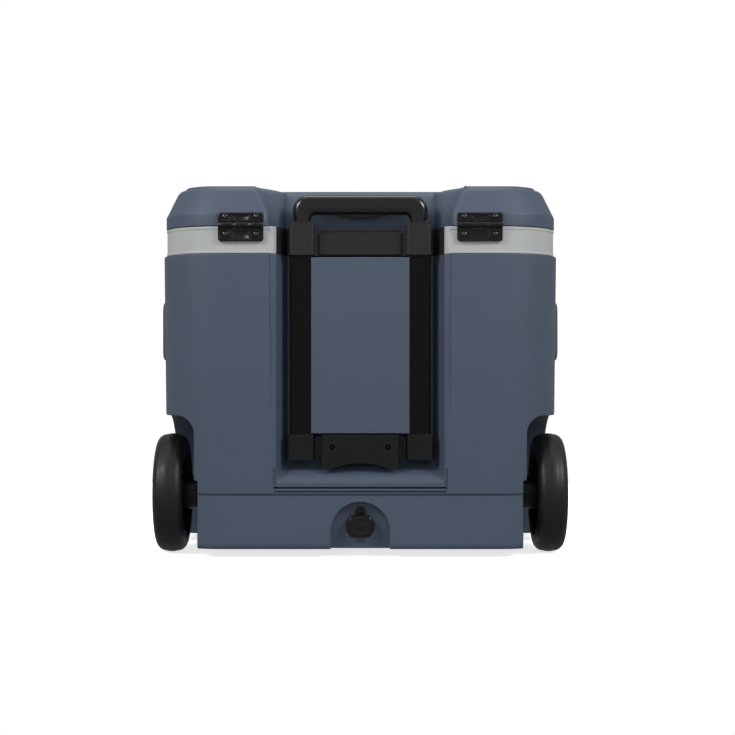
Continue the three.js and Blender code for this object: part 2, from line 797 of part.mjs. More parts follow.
// Outline of the bracket's middle plate: straight top, two lobes and an arched lower edge.
function bracketPlate() {
  const lobe = 8;
  const shape = new THREE.Shape();
  shape.moveTo(plateHalfWidth, blockTop);
  shape.lineTo(-plateHalfWidth, blockTop);
  shape.lineTo(-plateHalfWidth, plateBottom + lobe);
  shape.quadraticCurveTo(-plateHalfWidth, plateBottom, -plateHalfWidth + lobe, plateBottom);
  shape.bezierCurveTo(-plateHalfWidth * 0.6, plateBottom + 2, -plateHalfWidth * 0.5, plateArch, 0, plateArch);
  shape.bezierCurveTo(plateHalfWidth * 0.5, plateArch, plateHalfWidth * 0.6, plateBottom + 2,
    plateHalfWidth - lobe, plateBottom);
  shape.quadraticCurveTo(plateHalfWidth, plateBottom, plateHalfWidth, plateBottom + lobe);
  shape.closePath();
  return shape;
}

function plateScrew() {
  const seat = backPlane + plateFront + plateThick + 4;
  const tip = backPlane + recessDepth + wall + 1;
  return join(
    rodY(screwHead, seat - screwHeadThick - gap, seat - gap, 0, plateScrewZ, 8),
    rodY(screwShank, seat - gap - 1, tip, 0, plateScrewZ, 8),
  );
}

function upperBracket() {
  const collars = sides.map(([, side]) => {
    const shape = roundedShape(collarWidth / 2, collarDeep / 2, 5);
    const collar = prism(shape, collarBottom, collarTop, 1);
    return collar.translate(side * handleX, recessWallY - collarDeep / 2, 0);
  });
  const cross = box(-handleX, handleX, backPlane + crossFront, recessWallY, crossBottom, crossTop);
  const bores = sides.map(([, side]) => {
    const shape = roundedShape(midWidth / 2 + runGap, midDeep / 2 + runGap, tubeCorner - railWall);
    return prism(shape, crossBottom - cut, collarTop + cut, 2).translate(side * handleX, handleY, 0);
  });
  const railRoom = sides.map(([, side]) =>
    box(side * handleX - railWidth / 2 - 1, side * handleX + railWidth / 2 + 1,
      backPlane, recessWallY + cut, crossBottom - cut, collarBottom));
  return carve(join(...collars, cross), ...bores, ...railRoom);
}

const handleMid = addGroup('handle_mid');
const handleTop = addGroup('handle_top');
const release = addGroup('release');

// Nested square tubes: the fixed rail, the middle tube and the inner tube that carries the grip.
for (const [name, side] of sides) {
  const tubes = [
    [`handle_rail_${name}`, railWidth, railDeep, railWall, tubeCorner, blockTop + gap, railTop, tub],
    [`middle_tube_${name}`, midWidth, midDeep, tubeWall, tubeCorner - railWall + runGap,
      blockTop + 3, collarTop, handleMid],
    [`inner_tube_${name}`, innerWidth, innerDeep, tubeWall, tubeCorner - railWall,
      blockTop + 6, collarTop + ringHeight + gap * 2, handleTop],
  ];
  for (const [node, width, deep, thick, corner, z0, z1, parent] of tubes) {
    place(node, squareTube(width, deep, thick, corner, z0, z1), blackSteel, parent)
      .position.set(side * handleX, handleY, 0);
  }
}

// A moulded ring closes the top of each middle tube round the inner tube.
function tubeRing() {
  const shape = roundedShape(midWidth / 2 + 0.8, midDeep / 2 + 0.8, 3);
  shape.holes.push(roundedShape(innerWidth / 2 + runGap, innerDeep / 2 + runGap, tubeCorner - railWall));
  return prism(shape, collarTop + gap, collarTop + gap + ringHeight - gap, 2);
}

for (const [name, side] of sides) {
  place(`tube_ring_${name}`, tubeRing(), charcoal, handleMid).position.set(side * handleX, handleY, 0);
}

place('lower_bracket', lowerBracket(), blackPlastic, tub);
place('upper_bracket', upperBracket(), charcoal, tub);
for (const [name, side] of sides) {
  place(`plate_screw_${name}`, plateScrew(), zincSteel, tub).position.x = side * plateScrewX;
}

const gripBottom = collarTop + ringHeight + gap * 3;
const gripUnder = gripTop - gripThick;
const yokeZ = gripUnder + yokeRise;

// The grip is an arch of even thickness whose edges are rounded all round.
function grip() {
  const outer = handleX + gripWidth / 2 - gripRound;
  const inner = handleX - gripWidth / 2 + gripRound;
  const high = gripTop - gripRound;
  const low = gripUnder + gripRound;
  const foot = gripBottom - gripRound; // legs run on and are cut off flat
  const round = gripCorner - gripRound;
  const inside = gripRound + 2;
  const shape = new THREE.Shape();
  shape.moveTo(outer, foot);
  shape.lineTo(outer, high - round);
  shape.absarc(outer - round, high - round, round, 0, Math.PI / 2);
  shape.lineTo(-outer + round, high);
  shape.absarc(-outer + round, high - round, round, Math.PI / 2, Math.PI);
  shape.lineTo(-outer, foot);
  shape.lineTo(-inner, foot);
  shape.lineTo(-inner, low - inside);
  shape.absarc(-inner + inside, low - inside, inside, Math.PI, Math.PI / 2, true);
  shape.lineTo(inner - inside, low);
  shape.absarc(inner - inside, low - inside, inside, Math.PI / 2, 0, true);
  shape.lineTo(inner, foot);
  const arch = alongY(new THREE.ExtrudeGeometry(shape, {
    depth: gripDeep - gripRound * 2,
    bevelEnabled: true,
    bevelSize: gripRound,
    bevelThickness: gripRound,
    bevelSegments: 3,
    curveSegments: 3,
  }));
  arch.translate(0, handleY - gripDeep / 2 + gripRound, 0);
  const room = yokeDeep / 2 + gap;
  const tunnel = box(-handleX - rodRadius - 2, handleX + rodRadius + 2, handleY - room, handleY + room,
    yokeZ - gap, yokeZ + yokeThick + releaseTravel + gap * 2);
  const slot = box(-releaseHalfWidth - gap, releaseHalfWidth + gap, handleY - room, handleY + room,
    gripUnder - cut, yokeZ);
  const rodHoles = sides.map(([, side]) =>
    rodZ(rodRadius + runGap, gripBottom - cut, yokeZ, side * handleX, handleY, 12));
  const below = box(-handleX * 2, handleX * 2, handleY - gripDeep, handleY + gripDeep,
    foot - gripRound - cut, gripBottom);
  return carve(arch, below, tunnel, slot, ...rodHoles);
}

// The squeeze bar under the grip and the yoke that carries its push to both legs.
function releaseBar() {
  const bottom = gripUnder - releaseBulge;
  const shape = new THREE.Shape();
  shape.moveTo(releaseHalfWidth, yokeZ + 1);
  shape.lineTo(-releaseHalfWidth, yokeZ + 1);
  shape.lineTo(-releaseHalfWidth, gripUnder);
  shape.bezierCurveTo(-releaseHalfWidth * 0.6, gripUnder, -releaseHalfWidth * 0.6, bottom, 0, bottom);
  shape.bezierCurveTo(releaseHalfWidth * 0.6, bottom, releaseHalfWidth * 0.6, gripUnder,
    releaseHalfWidth, gripUnder);
  shape.closePath();
  const bar = alongY(prism(shape, handleY - yokeDeep / 2, handleY + yokeDeep / 2, 6));
  const reach = handleX + rodRadius;
  const half = yokeDeep / 2 - 1;
  const yoke = box(-reach, reach, handleY - half, handleY + half, yokeZ, yokeZ + yokeThick);
  return join(bar, yoke);
}

place('grip', grip(), blackPlastic, handleTop);
place('release_bar', releaseBar(), blackPlastic, release);
for (const [name, side] of sides) {
  place(`release_rod_${name}`, rodZ(rodRadius, blockTop + 15, yokeZ - gap, 0, 0, 10), zincSteel, release)
    .position.set(side * handleX, handleY, 0);
}

// ---------------------------------------------------------------- drain
function drainSpout() {
  const inside = cavityRear + cavityDraft + linerWall;
  const outside = drainWallY - capThick + 1;
  const tube = join(
    rodY(spoutRadius, outside, inside, 0, capZ, 20),
    rodY(spoutFlange, drainWallY - gap - 2, drainWallY - gap, 0, capZ, 24),
  );
  return carve(tube, rodY(spoutBore, outside - cut, inside + cut, 0, capZ, 16));
}

function drainWasher() {
  const y1 = drainWallY - gap * 2 - 2;
  const ring = rodY(spoutFlange - 2, y1 - 1.2, y1, 0, capZ, 24);
  return carve(ring, rodY(spoutRadius + gap, y1 - cut * 2, y1 + cut, 0, capZ, 20));
}

// Round cap with a flat above and below, closed at its rear face.
function drainCap() {
  const y0 = drainWallY - capThick - 4;
  const y1 = drainWallY - gap * 3 - 3.2;
  const disc = overlap(
    rodY(capRadius, y0, y1, 0, capZ, 24),
    box(-capRadius - 1, capRadius + 1, y0 - 1, y1 + 1, capZ - capFlat, capZ + capFlat),
  );
  return carve(disc, rodY(spoutRadius + gap, drainWallY - capThick + 1 - gap, y1 + cut, 0, capZ, 20));
}

// The strap hangs the cap from a stud on the recess wall and loops round the spout.
function drainStrap() {
  const y1 = drainWallY - gap;
  const y0 = y1 - strapThick;
  const band = box(-strapHalfWidth, strapHalfWidth, y0, y1, capZ + spoutFlange - 1, strapTop);
  const stud = rodY(3, y1 - strapThick - 1.2, y1 - 1, 0, strapTop - 6, 12);
  return carve(join(band, stud), rodY(spoutFlange + gap, y0 - cut, y1 + cut, 0, capZ, 24));
}

const drainBody = addGroup('drain_cap_body');
place('drain_spout', drainSpout(), blackPlastic, tub);
place('drain_washer', drainWasher(), gasketGrey, tub);
place('drain_strap', drainStrap(), blackPlastic, tub);
place('drain_cap', drainCap(), blackPlastic, drainBody);

// ---------------------------------------------------------------- lid
const lid = addGroup('lid');

// The lid's outside, shrunk by an inset, with a lip, leaning sides, a deck and a raised platform.
function lidBlock(inset, bottom, top) {
  const at = (z, extra) => ({
    z,
    outline: roundedOutline(
      bodyHalfWidth - lidInset - inset - extra,
      bodyHalfDepth - lidInset - inset - extra,
      bodyCorner - lidInset - inset - extra * 0.8,
    ),
  });
  return loft([
    at(bottom, 0),
    at(lipTop, 0),
    at(shoulderZ - inset, lidLean),
    at(top, deckInset),
  ]);
}

function lidPlatform() {
  const at = (z, inset) => ({
    z,
    outline: roundedOutline(bodyHalfWidth - inset - lidInset, bodyHalfDepth - inset - lidInset,
      platformCorner + platformInset - inset),
  });
  return loft([at(deckZ - 1, platformInset - platformSlope), at(lidTop, platformInset)]);
}

// Plan of the cut-out's wall: a rounded mouth and an S-curve to its narrow back.
function lidRecess(grow, bottom, top) {
  const steps = 4;
  const plan = (mouth, mouthY, narrow, depth) => {
    const back = backPlane + depth + grow;
    const round = mouthRound + grow;
    const start = mouthY + mouthRound;
    const half = [[mouth + round, -bodyHalfDepth - cut], [mouth + round, mouthY - gap]];
    half.push([mouth + grow + mouthRound * roundShare, mouthY + mouthRound * roundShare]);
    for (let i = 0; i <= steps; i += 1) {
      const share = i / steps;
      const ease = (1 - Math.cos(Math.PI * share)) / 2;
      half.push([mouth + grow + (narrow - mouth) * ease, start + (back - start) * share]);
    }
    const all = [...half.map(([x, y]) => [-x, y]), ...half.reverse()];
    return all.map(([x, y]) => new THREE.Vector2(x, y)).reverse();
  };
  const low = plan(lidRecessMouth, backPlane, lidRecessBack, lidRecessDepth);
  const high = plan(lidRecessHighMouth, backPlane + lidLean, lidRecessBack, lidRecessHighDepth);
  const rim = plan(lidRecessRimMouth, backPlane + lidLean, lidRecessRimBack, lidRecessRimDepth);
  return loft([
    { z: bottom, outline: low },
    { z: lipTop, outline: low },
    { z: shoulderZ - grow, outline: high },
    { z: lidTop - grow, outline: rim },
    { z: top + cut, outline: rim },
  ]);
}

const cupPlaces = [cupFrontY, cupRearY].flatMap((y) => [-cupX, cupX].map((x) => [x, y]));

function cupHolders(grow) {
  return cupPlaces.map(([x, y]) => rodZ(cupRadius + grow, lidTop - cupDepth - grow, lidTop + cut, x, y, 20));
}

function lidShell() {
  const reach = -backPlane + lipReach;
  const lip = box(-lipHalfWidth, lipHalfWidth, -backPlane - lipRoot, reach,
    lidBottom + lipRise, lipTop - lipDrop);
  const outside = join(lidBlock(0, lidBottom, deckZ), lidPlatform(), lip);
  const skin = carve(outside, lidRecess(0, lidBottom - cut, lidTop), ...cupHolders(0));
  const inside = lidBlock(wall, lidBottom - cut, deckZ - wall);
  const hollow = carve(inside, lidRecess(wall, 0, lidTop), ...cupHolders(wall));
  return carve(skin, hollow, hingeScrewHoles(upperScrewZ));
}

function lidLiner() {
  const inside = wall + gap;
  const plate = carve(
    loft([plateZ, plateZ + linerWall].map((z) => ({
      z,
      outline: roundedOutline(bodyHalfWidth - lidInset - inside, bodyHalfDepth - lidInset - inside,
        bodyCorner - lidInset - inside),
    }))),
    lidRecess(inside, 0, lidTop),
  );
  const plugBottom = plateZ - plugDrop;
  return carve(join(plate, plug(0, plugBottom, plateZ + 1)), plug(linerWall, plugBottom + linerWall, lidTop));
}

// The shallow plug that drops into the cavity's mouth.
function plug(inset, bottom, top) {
  const shrink = plugGap + inset;
  const at = (z, extra) => ({
    z,
    outline: roundedOutline(cavityHalfWidth - shrink - extra, cavityHalfDepth - shrink - extra,
      cavityCorner - shrink - extra, cavityShift),
  });
  return loft([at(bottom, 3), at(bottom + 4, 0), at(top, 0)]);
}

function lidFoam() {
  const inside = wall + gap;
  const bottom = plateZ + linerWall + gap;
  const fill = carve(
    lidBlock(inside, bottom, deckZ - inside),
    lidRecess(inside, 0, lidTop),
    ...cupHolders(inside),
  );
  const drop = plateZ - plugDrop + linerWall + gap;
  return join(fill, plug(linerWall + gap, drop, bottom + 1));
}

function lidGasket() {
  const ring = (out) =>
    roundedOutline(cavityHalfWidth + out, cavityHalfDepth + out, cavityCorner + out, cavityShift);
  const layer = (out, z0, z1) => loft([z0, z1].map((z) => ({ z, outline: ring(out) })));
  const z0 = bandTop + 0.1;
  const z1 = plateZ - gap;
  return carve(layer(gasketOut + gasketWidth, z0, z1), layer(gasketOut, z0 - cut, z1 + cut));
}

place('lid_shell', lidShell(), slateBlue, lid);
place('lid_foam', lidFoam(), foamCream, lid);
place('lid_liner', lidLiner(), linerWhite, lid);
place('lid_gasket', lidGasket(), gasketGrey, lid);

// ---------------------------------------------------------------- hinges
function hingeScrewHoles(z) {
  const places = sides.flatMap(([, side]) => [-1, 1].map((end) => side * hingeX + end * hingeScrewX));
  return join(...places.map((x) =>
    rodY(screwShank + gap, -bodyHalfDepth - cut, backPlane + bandInset + cut, x, z, 8)));
}

const halfHinge = hingeWidth / 2;
const middleHalf = (hingeWidth * knuckleShare) / 2;
const bandFaceY = -(bodyHalfDepth - bandInset) - gap;
const lipFaceY = backPlane - gap;

function screwHoleInLeaf(x, z, face, back) {
  return rodY(screwShank + gap, face - cut, back + cut, x, z, 8);
}

// The lower leaf carries the two outer knuckles.
function lowerLeaf() {
  const face = bandFaceY - leafThick;
  const leaf = box(-halfHinge, halfHinge, face, bandFaceY, leafBottom, hingeAxisZ - 1.9);
  const knuckles = [-1, 1].map((end) =>
    rodX(knuckleRadius, end * (middleHalf + gap), end * halfHinge, hingeAxisY, hingeAxisZ, 16));
  const middle = middleHalf + gap;
  const room = box(-middle, middle, face - cut, bandFaceY + cut,
    hingeAxisZ - knuckleRadius - gap * 2, hingeAxisZ);
  const holes = [-1, 1].map((end) => screwHoleInLeaf(end * hingeScrewX, lowerScrewZ, face, bandFaceY));
  const bore = rodX(pinRadius + gap, -halfHinge - cut, halfHinge + cut, hingeAxisY, hingeAxisZ, 12);
  return carve(join(carve(leaf, room), ...knuckles), bore, ...holes);
}

// The upper leaf carries the middle knuckle.
function upperLeaf() {
  const face = lipFaceY - upperLeafThick;
  const leaf = box(-halfHinge, halfHinge, face, lipFaceY, hingeAxisZ + knuckleRadius + gap * 2, leafTop);
  const web = box(-middleHalf, middleHalf, face, lipFaceY, hingeAxisZ + 0.5, leafTop - 5);
  const knuckle = rodX(knuckleRadius, -middleHalf, middleHalf, hingeAxisY, hingeAxisZ, 16);
  const holes = [-1, 1].map((end) => screwHoleInLeaf(end * hingeScrewX, upperScrewZ, face, lipFaceY));
  const bore = rodX(pinRadius + runGap, -halfHinge, halfHinge, hingeAxisY, hingeAxisZ, 12);
  return carve(join(leaf, web, knuckle), bore, ...holes);
}

function hingeScrew(face, tip, z) {
  return join(
    rodY(screwHead, face - gap - screwHeadThick, face - gap, 0, z, 8),
    rodY(screwShank, face - gap - 1, tip, 0, z, 8),
  );
}

for (const [name, side] of sides) {
  const fixed = addGroup(`hinge_fixed_${name}`, tub);
  const moving = addGroup(`hinge_moving_${name}`, lid);
  fixed.position.x = side * hingeX;
  moving.position.x = side * hingeX;
  place(`hinge_lower_leaf_${name}`, lowerLeaf(), blackPlastic, fixed);
  const pin = rodX(pinRadius, -halfHinge, halfHinge, hingeAxisY, hingeAxisZ, 12);
  place(`hinge_pin_${name}`, pin, zincSteel, fixed);
  place(`hinge_upper_leaf_${name}`, upperLeaf(), blackPlastic, moving);
  for (const [end, along] of [['a', -1], ['b', 1]]) {
    const lower = hingeScrew(bandFaceY - leafThick, bandFaceY + gap + wall - 0.5, lowerScrewZ);
    const upper = hingeScrew(lipFaceY - upperLeafThick, lipFaceY + gap + wall - 0.5, upperScrewZ);
    place(`lower_screw_${name}_${end}`, lower, zincSteel, fixed).position.x = along * hingeScrewX;
    place(`upper_screw_${name}_${end}`, upper, zincSteel, moving).position.x = along * hingeScrewX;
  }
}

export default root;
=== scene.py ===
import json
import math

import bpy
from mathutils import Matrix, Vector
from mathutils.kdtree import KDTree

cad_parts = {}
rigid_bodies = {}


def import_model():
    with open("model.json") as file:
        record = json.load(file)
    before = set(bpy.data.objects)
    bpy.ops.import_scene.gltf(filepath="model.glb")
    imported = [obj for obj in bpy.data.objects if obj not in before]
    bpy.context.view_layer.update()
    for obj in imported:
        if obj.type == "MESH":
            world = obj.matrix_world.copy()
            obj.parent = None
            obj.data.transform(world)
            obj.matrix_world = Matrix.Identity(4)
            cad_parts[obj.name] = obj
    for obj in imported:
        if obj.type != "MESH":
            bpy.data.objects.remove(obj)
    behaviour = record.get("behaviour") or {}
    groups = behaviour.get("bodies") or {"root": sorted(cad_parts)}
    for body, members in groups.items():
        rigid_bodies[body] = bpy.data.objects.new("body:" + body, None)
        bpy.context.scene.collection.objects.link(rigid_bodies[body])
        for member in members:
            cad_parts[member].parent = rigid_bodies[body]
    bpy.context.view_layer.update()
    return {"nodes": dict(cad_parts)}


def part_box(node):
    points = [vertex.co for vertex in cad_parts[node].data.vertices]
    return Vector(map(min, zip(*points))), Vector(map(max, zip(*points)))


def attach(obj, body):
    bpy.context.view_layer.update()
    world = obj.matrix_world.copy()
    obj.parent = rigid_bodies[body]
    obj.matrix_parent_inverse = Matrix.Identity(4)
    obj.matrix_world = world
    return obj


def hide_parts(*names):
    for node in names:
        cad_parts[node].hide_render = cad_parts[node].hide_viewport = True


bpy.ops.object.select_all(action="SELECT")
bpy.ops.object.delete()
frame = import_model()
mm = 0.001  # every size below is in millimetres unless its name says otherwise


# Small helpers for working as by hand.

def objectMode():
    if bpy.context.object and bpy.context.object.mode != "OBJECT":
        bpy.ops.object.mode_set(mode="OBJECT")


def selectOnly(piece):
    objectMode()
    bpy.ops.object.select_all(action="DESELECT")
    bpy.context.view_layer.objects.active = piece
    piece.select_set(True)


def editAll(piece):
    selectOnly(piece)
    bpy.ops.object.mode_set(mode="EDIT")
    bpy.ops.mesh.select_all(action="SELECT")


def cleanMesh(piece):
    editAll(piece)
    bpy.ops.mesh.remove_doubles(threshold=0.00001)
    bpy.ops.mesh.dissolve_degenerate(threshold=0.000005)
    bpy.ops.mesh.select_all(action="SELECT")
    bpy.ops.mesh.normals_make_consistent(inside=False)
    objectMode()


def applyModifier(piece, kind, **settings):
    selectOnly(piece)
    bpy.ops.object.modifier_add(type=kind)
    modifier = piece.modifiers[-1]
    for name, value in settings.items():
        setattr(modifier, name, value)
    bpy.ops.object.modifier_apply(modifier=modifier.name)


def combine(piece, others, operation="DIFFERENCE"):
    for other in others:
        applyModifier(piece, "BOOLEAN", object=other, operation=operation, solver="EXACT")
        bpy.data.objects.remove(other)
    return piece


def cutAway(piece, *others):
    return combine(piece, others)


def weld(piece, *others):
    return combine(piece, others, "UNION")


def keepInside(piece, *others):
    return combine(piece, others, "INTERSECT")


def roundEdges(piece, width, segments=3, angle=32, clamp=True):
    applyModifier(piece, "BEVEL", width=width * mm, segments=segments, limit_method="ANGLE",
                  angle_limit=math.radians(angle), use_clamp_overlap=clamp, miter_outer="MITER_ARC")
    return piece


def smoothShade(piece, angle=40):
    selectOnly(piece)
    bpy.ops.object.shade_smooth_by_angle(angle=math.radians(angle))
    applyModifier(piece, "WEIGHTED_NORMAL", keep_sharp=True, weight=60)
    return piece


def newCircle(name, count, fill):
    objectMode()
    bpy.ops.object.select_all(action="DESELECT")
    bpy.ops.mesh.primitive_circle_add(vertices=count, radius=0.1, fill_type=fill)
    bpy.context.object.name = name
    return bpy.context.object


# A closed body through rings of points, extruded from one ring to the next.
def loftRings(name, rings):
    piece = newCircle(name, len(rings[0]), "NGON")
    lift = Vector((0, 0, 0.01))
    for vertex, place in zip(piece.data.vertices, rings[0]):
        vertex.co = place
    for below, ring in zip(rings, rings[1:]):
        bpy.ops.object.mode_set(mode="EDIT")
        bpy.ops.mesh.extrude_region_move(TRANSFORM_OT_translate={"value": lift})
        bpy.ops.object.mode_set(mode="OBJECT")
        nearest = KDTree(len(below))
        for index, place in enumerate(below):
            nearest.insert(place + lift, index)
        nearest.balance()
        for vertex in piece.data.vertices:
            if vertex.select:
                vertex.co = ring[nearest.find(vertex.co)[1]]
    editAll(piece)
    bpy.ops.mesh.normals_make_consistent(inside=False)
    objectMode()
    return piece


def toX(x, y, along):
    return Vector((along, x, y)) * mm


def toY(x, y, along):
    return Vector((x, along, y)) * mm


def toZ(x, y, along):
    return Vector((x, y, along)) * mm


# An outline in millimetres, carried from one height to another along X, Y or Z.
def prism(name, outline, start, end, turn=toZ):
    return loftRings(name, [[turn(x, y, along) for x, y in outline] for along in (start, end)])


def stack(name, levels, turn=toZ):
    return loftRings(name, [[turn(x, y, along) for x, y in outline] for along, outline in levels])


def arcPoints(cx, cy, radius, start, end, steps):
    angles = [math.radians(start + (end - start) * i / steps) for i in range(steps + 1)]
    return [(cx + radius * math.cos(a), cy + radius * math.sin(a)) for a in angles]


def roundedOutline(halfX, halfY, radius, steps=12, shiftX=0, shiftY=0):
    x, y = halfX - radius, halfY - radius
    points = []
    for cx, cy, start in ((x, y, 0), (-x, y, 90), (-x, -y, 180), (x, -y, 270)):
        points += arcPoints(cx + shiftX, cy + shiftY, radius, start, start + 90, steps)
    return points


def bezierPoints(p0, p1, p2, p3, steps):
    points = []
    for i in range(1, steps + 1):
        t = i / steps
        a, b, c, d = (1 - t) ** 3, 3 * t * (1 - t) ** 2, 3 * t * t * (1 - t), t ** 3
        points.append(tuple(a * p0[k] + b * p1[k] + c * p2[k] + d * p3[k] for k in (0, 1)))
    return points


def blockBetween(name, low, high):
    (x0, y0, z0), (x1, y1, z1) = low, high
    return prism(name, [(x0, y0), (x1, y0), (x1, y1), (x0, y1)], z0, z1)


def roundBar(name, radius, start, end, turn, u=0, v=0, sides=48):
    outline = [(u + radius * math.cos(2 * math.pi * i / sides), v + radius * math.sin(2 * math.pi * i / sides))
               for i in range(sides)]
    return prism(name, outline, start, end, turn)


# A profile of (radius, along) points spun about a line through centre that runs along X or Y.
def spun(name, profile, centre, axis="X", steps=96):
    piece = newCircle(name, len(profile), "NOTHING")
    middle = Vector(centre)
    for vertex, (radius, along) in zip(piece.data.vertices, profile):
        offset = Vector((along, radius, 0)) if axis == "X" else Vector((radius, along, 0))
        vertex.co = (middle + offset) * mm
    endsOnAxis = profile[0][0] < 0.001 and profile[-1][0] < 0.001
    for edge in piece.data.edges:
        edge.select = endsOnAxis and set(edge.vertices) == {0, len(profile) - 1}
    for vertex in piece.data.vertices:
        vertex.select = endsOnAxis and vertex.index in (0, len(profile) - 1)
    bpy.ops.object.mode_set(mode="EDIT")
    if endsOnAxis:
        bpy.ops.mesh.delete(type="EDGE")
    bpy.ops.mesh.select_all(action="SELECT")
    turn = (1, 0, 0) if axis == "X" else (0, 1, 0)
    bpy.ops.mesh.spin(steps=steps, angle=math.tau, center=middle * mm, axis=turn)
    objectMode()
    cleanMesh(piece)
    return piece


def plainCopy(piece, name):
    selectOnly(piece)
    bpy.ops.object.duplicate()
    bpy.context.object.name = name
    return bpy.context.object


def mirroredCopy(piece, name):
    twin = plainCopy(piece, name)
    for vertex in twin.data.vertices:
        vertex.co.x = -vertex.co.x
    editAll(twin)
    bpy.ops.mesh.flip_normals()
    objectMode()
    return twin


def movedCopy(piece, name, shift):
    twin = plainCopy(piece, name)
    for vertex in twin.data.vertices:
        vertex.co += Vector(shift) * mm
    return twin


def span(node):
    low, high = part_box(node)
    return Vector(low) / mm, Vector(high) / mm


def show(piece, body, finish, slotName, *nodes):
    piece.data.materials.clear()
    piece.data.materials.append(finish)
    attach(piece, body)
    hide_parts(*nodes)
    return piece


def rightThenLeft(piece, name, body, finish, slotName, node):
    show(piece, body, finish, slotName, node + "_right")
    show(mirroredCopy(piece, name + "_left"), body.replace("right", "left"), finish, slotName, node + "_left")


# Camera, floor and light.

camera = bpy.data.objects.new("camera", bpy.data.cameras.new("camera"))
bpy.context.collection.objects.link(camera)
camera.location = (0, -2.425, 0.265)
camera.rotation_euler = (math.radians(90), 0, 0)
camera.data.lens = 77.6
camera.data.sensor_width = 36
camera.data.shift_x = 0.0098
bpy.context.scene.camera = camera
bpy.context.scene.view_settings.view_transform = "Standard"


def linear(hexColour):
    parts = [int(hexColour[i:i + 2], 16) / 255 for i in (1, 3, 5)]
    return [p / 12.92 if p <= 0.04045 else ((p + 0.055) / 1.055) ** 2.4 for p in parts] + [1]


def setInputs(node, values):
    for name, value in values.items():
        node.inputs[name].default_value = value


def addNode(tree, kind, inputs=None, **settings):
    node = tree.nodes.new("ShaderNode" + kind)
    for name, value in settings.items():
        setattr(node, name, value)
    for name, value in (inputs or {}).items():
        if isinstance(value, bpy.types.NodeSocket):
            tree.links.new(value, node.inputs[name])
        else:
            node.inputs[name].default_value = value
    return node


def mapRange(tree, value, low, high, toLow, toHigh):
    return addNode(tree, "MapRange", {"Value": value, "From Min": low, "From Max": high, "To Min": toLow,
                                      "To Max": toHigh}).outputs[0]


# White for the camera behind the object, with a dimmer studio all round that lights it evenly.
world = bpy.data.worlds.new("white_studio")
bpy.context.scene.world = world
world.use_nodes = True
sky = world.node_tree
backdrop = sky.nodes["Background"]
setInputs(backdrop, {"Color": (1, 1, 1, 1), "Strength": 1.02})
heading = addNode(sky, "SeparateXYZ", {0: addNode(sky, "TexCoord").outputs["Generated"]})
ramp = mapRange(sky, heading.outputs["Z"], -1, 1, 0.26, 0.44)
room = addNode(sky, "Background", {"Color": (0.98, 0.99, 1, 1), "Strength": ramp})
direct = addNode(sky, "LightPath").outputs["Is Camera Ray"]
both = addNode(sky, "MixShader", {0: direct, 1: room.outputs[0], 2: backdrop.outputs[0]})
sky.links.new(both.outputs[0], sky.nodes["World Output"].inputs["Surface"])


def softLight(name, place, aim, size, watts):
    lamp = bpy.data.objects.new(name, bpy.data.lights.new(name, "AREA"))
    bpy.context.collection.objects.link(lamp)
    lamp.data.shape = "RECTANGLE"
    lamp.data.size, lamp.data.size_y = size
    lamp.data.energy = watts
    lamp.location = place
    lamp.rotation_euler = (Vector(aim) - Vector(place)).to_track_quat("-Z", "Y").to_euler()
    lamp.visible_camera = False
    return lamp


softLight("softbox_left", (-1.6, -1.35, 1.5), (0, 0, 0.25), (0.7, 0.7), 28)
softLight("softbox_right", (1.6, -1.35, 1.5), (0, 0, 0.25), (0.7, 0.7), 28)
softLight("softbox_top", (0, 0.1, 2.3), (0, 0, 0.3), (1.5, 1.1), 14)
far = softLight("softbox_front", (0.4, 2.4, 1.4), (0, 0, 0.3), (1.4, 1.1), 44)
far.visible_glossy = False
fill = softLight("softbox_low", (0, -2.6, 0.55), (0, 0, 0.2), (1.2, 0.5), 10)
fill.visible_glossy = False

# The floor glows, as a lit table does, and gives its glow to the camera only.
bpy.ops.mesh.primitive_circle_add(vertices=96, radius=1.3, fill_type="NGON", location=(0, 0, 0))
floor = bpy.context.object
floor.name = "floor"
floor.visible_diffuse = False
floor.visible_glossy = False
paper = bpy.data.materials.new("lit_white_sweep")
paper.use_nodes = True
setInputs(paper.node_tree.nodes["Principled BSDF"], {
    "Base Color": linear("#f4f4f4"), "Roughness": 0.95, "Specular IOR Level": 0, "Emission Color": (1, 1, 1, 1),
    "Emission Strength": 0.72})
floor.data.materials.append(paper)
